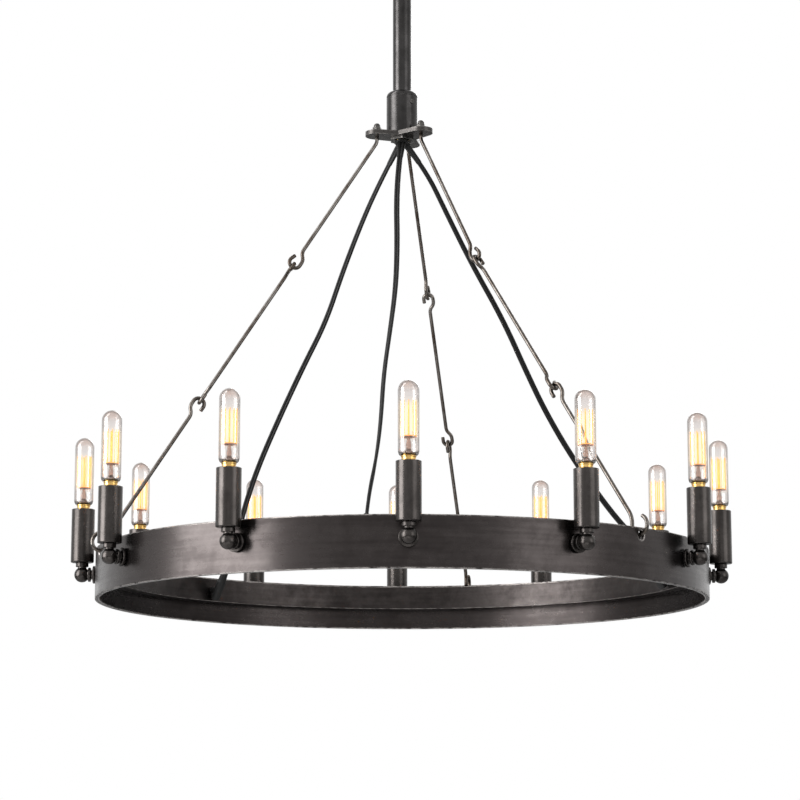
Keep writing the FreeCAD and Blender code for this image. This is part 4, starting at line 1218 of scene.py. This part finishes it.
@dataclass
class Lamps:
    """Twelve candle lamps on ball elbows, with sizes in millimetres."""

    count: int = 12
    standing_r: float = 333.0
    elbow_z: float = -848.8
    standoff: float = 15.5
    ball_r: float = 8.0
    flange_r: float = 9.2
    flange_low: float = 11.5
    collar: tuple[Corner, ...] = (
        (5.2, 6.2, 0.0), (7.4, 6.6, 0.5), (7.4, 9.1, 0.5), (5.0, 9.6, 0.4), (4.9, 10.9, 0.4))
    neck_r: float = 4.5
    check_r: float = 6.6
    check_height: float = 4.5
    cup_low: float = -836.2
    cup_top: float = -780.4
    cup_r: float = 12.0
    cup_wall: float = 1.2
    cup_floor: float = 2.0
    thread_r: float = 4.0
    base_top: float = -775.4
    base_low: float = -797.4
    base_r: float = 6.2
    groove_depth: float = 0.55
    groove_pitch: float = 2.6
    base_collar_r: float = 7.2
    glass_foot_r: float = 7.6
    glass_r: float = 10.0
    glass_wall: float = 0.8
    glass_floor: float = 1.2
    glass_height: float = 70.6
    flare: float = 5.4
    pinch_height: float = 15.5
    bridge: float = 0.8
    cage_r: float = 7.0
    wire_r: float = 0.38
    post_r: float = 0.9
    cage_runs: int = 10
    cage_height: float = 33.3
    hoop_half: float = 0.3
    hoop_height: float = 0.6
    cup_segments: int = 40
    turned_segments: int = 32
    glass_segments: int = 48
    mount_segments: int = 20
    hoop_segments: int = 30
    post_segments: int = 10
    wire_segments: int = 8

    def cup(self) -> bpy.types.Mesh:
        """The plain turned cup with a soft lower edge and a thin rim."""
        inner = self.cup_r - self.cup_wall
        floor = self.cup_low + self.cup_floor
        return lathe("cup", rounded([
            (self.thread_r, self.cup_low, 0.0), (self.cup_r, self.cup_low, 1.1),
            (self.cup_r, self.cup_top, 0.4), (inner, self.cup_top, 0.3), (inner, floor, 0.5),
            (self.thread_r, floor, 0.0)]), self.cup_segments)

    def elbow(self) -> bpy.types.Mesh:
        """The ball elbow: a level part turned about its own axis, and the upright neck."""
        ball = [(self.ball_r * math.sin(math.radians(angle)), -self.ball_r * math.cos(math.radians(angle)))
                for angle in range(0, 135, 9)]
        flange = rounded([*self.collar, (self.flange_r, self.flange_low, 0.6),
                          (self.flange_r, self.standoff, 0.4)], 4)
        side = lathe("elbow_side", ball + flange + [(0.0, self.standoff)], self.turned_segments, closed=False)
        towards = Matrix.Translation((0.0, 0.0, self.elbow_z * MM)) @ Matrix.Rotation(-math.pi / 2, 4, "Y")
        low = self.cup_low - self.check_height
        top = self.cup_low + self.cup_floor
        check = rounded([(self.neck_r, low, 0.4), (self.check_r, low, 0.5),
                         (self.check_r, self.cup_low, 0.5), (self.thread_r, self.cup_low, 0.0)], 4)
        neck = lathe("elbow_neck", [(0.0, self.elbow_z), (self.neck_r, self.elbow_z), *check,
                                    (self.thread_r, top), (0.0, top)], self.turned_segments, closed=False)
        return joined("elbow", [(side, towards), (neck, IN_PLACE)])

    def base(self) -> bpy.types.Mesh:
        """The rolled brass screw base with its collar."""
        points: Outline = [(0.0, self.base_low), (3.0, self.base_low),
                           (self.base_r - 0.5, self.base_low + 3.0)]
        root = self.base_r - self.groove_depth
        height = self.base_low + 3.6
        while height < self.base_top - 6.5:
            points += [(root, height), (self.base_r, height + 0.8), (self.base_r, height + 1.3),
                       (root, height + 2.1)]
            height += self.groove_pitch
        rim = self.base_collar_r
        points += [(self.base_r - 0.2, self.base_top - 5.8), (rim - 0.5, self.base_top - 5.0),
                   (rim - 0.1, self.base_top - 4.6), (rim - 0.1, self.base_top - 3.9),
                   (rim - 0.5, self.base_top - 3.5), (rim - 0.4, self.base_top - 1.6),
                   (rim, self.base_top - 1.2), (rim, self.base_top - 0.5), (rim - 0.3, self.base_top),
                   (0.0, self.base_top)]
        return lathe("base", points, self.turned_segments, closed=False)

    def glass(self) -> bpy.types.Mesh:
        """The hollow tubular bulb with its round end."""
        def wall(inset: float, low: float) -> Outline:
            """One side of the glass, set in by an inset, from a height above the base to its crown."""
            radius = self.glass_r - inset
            shoulder = self.base_top + self.glass_height - self.glass_r
            foot = self.base_top + low
            narrow = self.glass_foot_r - inset
            outline = [(narrow, foot)]
            for step in range(1, 9):
                slope = math.radians(90.0 * step / 8)
                outline.append((narrow + (radius - narrow) * math.sin(slope),
                                foot + (self.flare - low) * (1.0 - math.cos(slope))))
            crown = arc_outline(radius, shoulder, range(10, 90, 10))
            return outline + [(radius, shoulder), *crown, (0.0, shoulder + radius)]

        outer = [(0.0, self.base_top), *wall(0.0, 0.0)]
        inner = [(0.0, self.base_top + self.glass_floor), *wall(self.glass_wall, self.glass_floor)]
        shell = lathe("glass_outer", outer, self.glass_segments, closed=False)
        hollow = lathe("glass_inner", inner[::-1], self.glass_segments, closed=False)
        return joined("glass", [(shell, IN_PLACE), (hollow, IN_PLACE)])

    def mount(self) -> bpy.types.Mesh:
        """The flared glass stem with its flat pinch and the button that holds the cage."""
        low = self.base_top + self.glass_floor
        top = low + self.pinch_height
        return lathe("mount", rounded([
            (0.0, low, 0.0), (4.2, low, 0.4), (2.2, low + 5.0, 1.5), (2.6, low + 8.0, 1.0),
            (1.5, top - 1.0, 0.8), (1.5, top, 0.0), (self.cage_r, top, 0.2),
            (self.cage_r, top + self.bridge, 0.2), (0.0, top + self.bridge, 0.0)], 4),
            self.mount_segments, closed=False)

    def filament(self) -> bpy.types.Mesh:
        """The cage: upright runs round a thin post, joined at their feet by a small hoop."""
        foot = self.base_top + self.glass_floor + self.pinch_height + self.bridge
        top = foot + self.cage_height
        outward = Matrix.Translation((self.cage_r * MM, 0, 0))
        pieces: list[tuple[bpy.types.Mesh, Matrix]] = []
        for index in range(self.cage_runs):
            run = lathe("run", [(0.0, foot), (self.wire_r, foot), (self.wire_r, top), (0.0, top)],
                        self.wire_segments, closed=False)
            angle = 2 * math.pi * index / self.cage_runs
            pieces.append((run, Matrix.Rotation(angle, 4, "Z") @ outward))
        near, far = self.cage_r - self.hoop_half, self.cage_r + self.hoop_half
        hoop_top = foot + self.hoop_height
        hoop = lathe("hoop", [(near, foot), (far, foot), (far, hoop_top), (near, hoop_top)],
                     self.hoop_segments)
        post = lathe("post", [(0.0, foot), (self.post_r, foot), (self.post_r * 0.6, top - 1.0), (0.0, top)],
                     self.post_segments, closed=False)
        return joined("cage", [*pieces, (hoop, IN_PLACE), (post, IN_PLACE)])

    def build(self, maker: Maker, palette: Palette) -> None:
        """Sets every lamp's parts round the ring.

        Args:
            maker: The geometry trees.
            palette: The materials.
        """
        for name, mesh, slot, node in (
                ("lamp_cup_set", self.cup(), "cup_iron", "lamp_cups"),
                ("lamp_elbow_set", self.elbow(), "cup_iron", "lamp_elbows"),
                ("bulb_base_set", self.base(), "brass", "bulb_bases"),
                ("bulb_glass_set", self.glass(), "bulb_glass", "bulb_glasses"),
                ("bulb_mount_set", self.mount(), "mount_glass", "bulb_mounts"),
                ("bulb_filament_set", self.filament(), "filament", "bulb_filaments")):
            piece = maker.round_the_ring(name, mesh, self.count, self.standing_r, palette[slot])
            declare(piece, Body.RING, node)


@dataclass
class Cords:
    """The three supply cords of flat twin flex with their sleeves and glands, with sizes in millimetres."""

    core_r: float = 1.6
    core_spacing: float = 2.9
    core_sides: int = 18
    exit_r: float = 4.393
    exit_z: float = -384.05
    first_r: float = 26.70
    first_z: float = -410.63
    last_r: float = 264.3
    last_z: float = -804.9
    end_r: float = 280.3
    end_z: float = -832.6
    ring_top: float = -827.0
    gland_r: float = 5.0
    gland_length: float = 24.0
    gland_reach: float = 13.9
    boss_r: float = 3.5
    bore_play: float = 0.05
    sleeve_length: float = 12.0
    neck_length: float = 22.0
    neck_sizes: tuple[float, float] = (1.42, 1.12)
    sleeve_segments: int = 32
    length_m: float = 0.528
    ends: dict[str, float] = field(default_factory=lambda: {"left": -135.0, "middle": -8.0, "right": 105.0})
    turns: dict[str, tuple[float, float]] = field(default_factory=lambda: {
        "left": (100.0, 40.0), "middle": (0.0, 85.0), "right": (60.0, 120.0)})
    between: dict[str, list[Corner]] = field(default_factory=lambda: {
        "left": [(-135.0, 56.0, 376.0), (-135.0, 90.0, 318.0), (-135.6, 117.0, 266.0), (-135.6, 153.0, 221.0),
                 (-135.0, 189.0, 168.0), (-134.6, 222.0, 115.0), (-135.0, 244.0, 74.0)],
        "middle": [(-7.0, 57.0, 368.0), (-4.3, 88.0, 312.0), (-4.2, 115.0, 260.0), (-5.7, 150.0, 206.0),
                   (-7.0, 176.0, 157.0), (-6.6, 212.0, 104.0), (-6.8, 246.0, 62.0)],
        "right": [(105.0, 50.0, 370.0), (105.0, 78.0, 316.0), (104.6, 112.0, 258.0), (104.6, 139.0, 200.0),
                  (105.0, 161.0, 157.0), (105.4, 192.0, 108.0), (105.2, 236.0, 50.0)]})

    def route(self, side: str) -> list[Vector]:
        """The cord's control points in metres, from its plug to its gland."""
        end = self.ends[side]
        points = [point_at(end, self.exit_r, self.exit_z), point_at(end, self.first_r, self.first_z)]
        points += [point_at(turn, radius, self.ring_top + rise) for turn, radius, rise in self.between[side]]
        return points + [point_at(end, self.last_r, self.last_z), point_at(end, self.end_r, self.end_z)]

    def line(self, side: str) -> list[Vector]:
        """Points in metres read from the smooth NURBS curve of one cord."""
        name = f"cord_route_{side}"
        curve = curve_of(name, "NURBS", [(place, 1.0) for place in self.route(side)])
        spline = curve.splines[0]
        spline.order_u = 3
        spline.use_endpoint_u = True
        spline.resolution_u = 10
        mesh = taken_mesh(linked(name, curve))
        line = [vertex.co.copy() for vertex in mesh.vertices]
        bpy.data.meshes.remove(mesh)
        return line

    def flex(self, name: str, side: str, line: Sequence[Vector], slot: str, maker: Maker, palette: Palette,
             sizes: tuple[float, float] = (1.0, 1.0)) -> bpy.types.Object:
        """Flat flex, or a sleeve of its section, along the start of one cord's line.

        Args:
            name: The piece's name.
            side: The cord's name.
            line: The points that it follows, from the cord's start.
            slot: Its finish.
            maker: The geometry trees.
            palette: The materials.
            sizes: How large its section is at its two ends, as shares of the flex's own.

        Returns:
            The piece.
        """
        curve = curve_of(f"{name}_line", "POLY", [
            (place, sizes[0] + (sizes[1] - sizes[0]) * index / (len(line) - 1))
            for index, place in enumerate(line)])
        first, last = self.turns[side]
        twist = (last - first) * self.measure(line) / self.length_m
        return maker.run(name, curve, maker.flex_tree, Radius=self.core_r * MM,
                         Spacing=self.core_spacing * MM, First_Turn=math.radians(first),
                         Twist=math.radians(twist), Sides=self.core_sides, Material=palette[slot])

    @staticmethod
    def measure(line: Sequence[Vector]) -> float:
        """A line's length in metres."""
        return sum((after - before).length for before, after in zip(line, line[1:]))

    def width(self) -> float:
        """How wide the flat flex is."""
        return self.core_spacing + 2 * self.core_r

    def bore(self) -> float:
        """The bore's radius of a sleeve that the flex runs through."""
        return self.width() / 2 + self.bore_play

    def sleeve(self, name: str, start: Vector, end: Vector, outline: Outline) -> bpy.types.Mesh:
        """A turned sleeve on a straight length of cord.

        Args:
            name: The mesh's name.
            start: Where the sleeve's axis starts, in metres.
            end: A point further on along its axis.
            outline: Its radii and its distances from the start.

        Returns:
            The mesh in its place.
        """
        mesh = lathe(name, outline, self.sleeve_segments)
        turn = (end - start).to_track_quat("Z", "Y").to_matrix().to_4x4()
        mesh.transform(Matrix.Translation(start) @ turn)
        return mesh

    def gland(self, side: str) -> bpy.types.Mesh:
        """The gland barrel with its tapered sleeve, and the boss that goes into the channel."""
        upward = (self.route(side)[-2] - self.route(side)[-1]).normalized()
        top = self.route(side)[-1]
        start = top - upward * self.gland_length * MM
        mouth = self.bore()
        tip = self.gland_length + self.sleeve_length
        barrel = self.sleeve("barrel", start, top, rounded([
            (0.0, 0.0, 0.0), (self.gland_r, 0.0, 1.2), (self.gland_r, self.gland_length - 2.0, 0.8),
            (self.gland_r - 0.6, self.gland_length, 0.5), (mouth + 0.9, self.gland_length + 6.0, 1.0),
            (mouth + 0.4, tip, 0.2), (mouth, tip, 0.0), (mouth, self.gland_length, 0.0),
            (0.0, self.gland_length, 0.0)], 5))
        middle = (start + top) / 2
        out = Vector((middle.x, middle.y, 0.0)).normalized()
        boss = self.sleeve("boss", middle, middle + out, rounded([
            (0.0, 0.0, 0.0), (self.boss_r, 0.0, 0.0), (self.boss_r, self.gland_reach, 0.4),
            (0.0, self.gland_reach, 0.0)], 4))
        return joined(f"gland_{side}", [(barrel, IN_PLACE), (boss, IN_PLACE)])

    def neck_line(self, line: Sequence[Vector]) -> list[Vector]:
        """The start of a cord's line, as far as its strain relief reaches."""
        kept = [line[0]]
        for place in line[1:]:
            kept.append(place)
            if self.measure(kept) > self.neck_length * MM:
                break
        return kept

    def build(self, maker: Maker, palette: Palette) -> None:
        """Lays the cords and puts their sleeves on.

        Args:
            maker: The geometry trees.
            palette: The materials.
        """
        glands = joined("cord_gland_set", [(self.gland(side), IN_PLACE) for side in self.ends])
        gland_piece = new_piece("cord_gland_set", glands, palette["black_rubber"])
        declare(gland_piece, Body.RING, "cord_glands")
        for side in self.ends:
            line = self.line(side)
            neck = self.flex(f"cord_neck_{side}", side, self.neck_line(line), "black_rubber", maker, palette,
                             self.neck_sizes)
            declare(neck, Body.RING)
            cord = self.flex(f"supply_cord_{side}", side, line, "black_cord", maker, palette)
            declare(cord, Body.RING, f"cord_{side}")


def declare(piece: bpy.types.Object, body: Body, node: str | None = None) -> None:
    """Puts a piece on the body that carries it and hides the CAD node that it replaces.

    Args:
        piece: The piece.
        body: The body that carries it.
        node: The CAD node that it stands for, if any.
    """
    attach(piece, body.value)
    if node:
        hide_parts(node)
    LOG.info("%s on %s, %d faces", piece.name, body.value, len(piece.data.polygons))


NODE_SLOTS: dict[str, str] = {
    "ceiling_bracket": "bracket_zinc", "canopy_studs": "bracket_zinc", "canopy": "black_iron",
    "canopy_cap_nuts": "nut_iron", "swivel_seat": "black_iron", "swivel_ball": "black_iron",
    "stem": "black_iron", "coupling": "black_iron", "coupling_set_screw": "nut_iron",
    "hub_nipple": "brass", "hub_nut": "nut_iron", "hub_plate": "plate_iron", "hub_cap_nuts": "nut_iron",
    "cord_plug": "black_rubber", "ring_band": "ring_steel", "wire_channel": "channel_steel",
    "cord_glands": "black_rubber", "lamp_elbows": "cup_iron", "lamp_cups": "cup_iron",
    "lamp_sockets": "socket_resin", "bulb_bases": "brass", "bulb_glasses": "bulb_glass",
    "bulb_mounts": "mount_glass", "bulb_filaments": "filament",
}


# Studio


@dataclass
class Lamp:
    """One soft studio lamp: where it is, where it looks, its size, its power, and if glass shows it."""

    name: str
    place: Corner
    target: Corner
    size: float
    power: float
    tall: float = 0.0
    through_glass: bool = True


@dataclass
class Studio:
    """A plain pale room, soft lamps and the camera, in metres."""

    floor_z: float = -2.0
    floor_size: float = 30.0
    camera_place: Corner = (-0.04575, -2.5723, -1.1317)
    camera_pitch: float = 100.323
    camera_yaw: float = -0.968
    lens: float = 111.5
    sensor_width: float = 36.0
    view_reach: float = 100.0
    ambient: float = 0.14
    lamps: tuple[Lamp, ...] = (
        Lamp("key", (-2.40, -1.05, -0.4), (0.0, 0.0, -0.6), 1.8, 110.0, 2.1),
        Lamp("high", (-2.0, -0.7, 1.5), (0.0, 0.0, -0.5), 1.0, 44.0, 2.4),
        Lamp("fill", (2.0, -1.6, -0.3), (0.0, 0.0, -0.6), 1.5, 16.0, 1.8),
        Lamp("rim", (0.6, 2.6, 0.9), (0.0, 0.0, -0.7), 1.6, 30.0, through_glass=False),
        Lamp("low", (0.0, -1.6, -1.9), (0.0, 0.0, -0.85), 1.4, 8.0),
    )

    def pale(self) -> bpy.types.Material:
        """The floor's material: near white, with faint cloudy variation."""
        material, graph, shader = new_material("studio_floor")
        coords = graph.add("ShaderNodeTexCoord").outputs["Object"]
        cloud = graph.noise(coords, 0.7, Detail=3.0)
        colour = graph.mix(cloud, (0.80, 0.80, 0.80), (0.84, 0.84, 0.84))
        graph.tree.links.new(colour, shader.inputs["Base Color"])
        shader.inputs["Roughness"].default_value = 0.8
        return material

    def world(self) -> None:
        """White to the camera and in gloss and glass, and a softer light on the object."""
        world = bpy.data.worlds.new("studio")
        world.use_nodes = True
        world.node_tree.nodes.clear()
        graph = Graph(world.node_tree)
        path = graph.add("ShaderNodeLightPath")
        seen = graph.math("MAXIMUM", path.outputs["Is Camera Ray"], graph.math(
            "MAXIMUM", path.outputs["Is Glossy Ray"], path.outputs["Is Transmission Ray"]))
        strength = graph.remap(seen, 0.0, 1.0, self.ambient, 1.0)
        light = graph.add("ShaderNodeBackground", {"Color": (1.0, 1.0, 1.0, 1.0), "Strength": strength})
        graph.add("ShaderNodeOutputWorld", {"Surface": light.outputs[0]})
        bpy.context.scene.world = world

    def build(self) -> None:
        """Sets the floor, the world, the lamps and the camera."""
        half = self.floor_size / 2
        mesh = bpy.data.meshes.new("studio_floor")
        mesh.from_pydata([(-half, -half, self.floor_z), (half, -half, self.floor_z),
                          (half, half, self.floor_z), (-half, half, self.floor_z)], [], [(0, 1, 2, 3)])
        new_piece("studio_floor", mesh, self.pale())
        self.world()
        for lamp in self.lamps:
            data = bpy.data.lights.new(lamp.name, "AREA")
            data.energy = lamp.power
            data.shape = "RECTANGLE"
            data.size = lamp.size
            data.size_y = lamp.tall or lamp.size
            light = linked(lamp.name, data)
            light.location = lamp.place
            look = Vector(lamp.target) - Vector(lamp.place)
            light.rotation_euler = look.to_track_quat("-Z", "Y").to_euler()
            light.visible_transmission = lamp.through_glass
        data = bpy.data.cameras.new("camera")
        data.lens = self.lens
        data.sensor_width = self.sensor_width
        data.clip_end = self.view_reach
        camera = linked("camera", data)
        camera.location = self.camera_place
        camera.rotation_euler = (math.radians(self.camera_pitch), 0.0, math.radians(self.camera_yaw))
        bpy.context.scene.camera = camera
        bpy.context.scene.view_settings.view_transform = "Standard"


def corners(box: tuple[Vector, Vector]) -> list[list[float]]:
    """A box's two corners as plain numbers."""
    return [[round(part, 6) for part in corner] for corner in box]


def main() -> None:
    """Loads the frame, builds every piece over it and reports them."""
    logging.basicConfig(level=logging.INFO, format="%(name)s: %(message)s")
    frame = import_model()
    palette = Palette()
    for node, slot in NODE_SLOTS.items():
        palette.dress(frame["nodes"][node], slot)
    maker = Maker()
    Studio().build()
    Cords().build(maker, palette)
    Hub().build(maker, palette)
    Arms().build(maker, palette)
    Lamps().build(maker, palette)
    LOG.info("all pieces built")


if __name__ == "__main__":
    main()
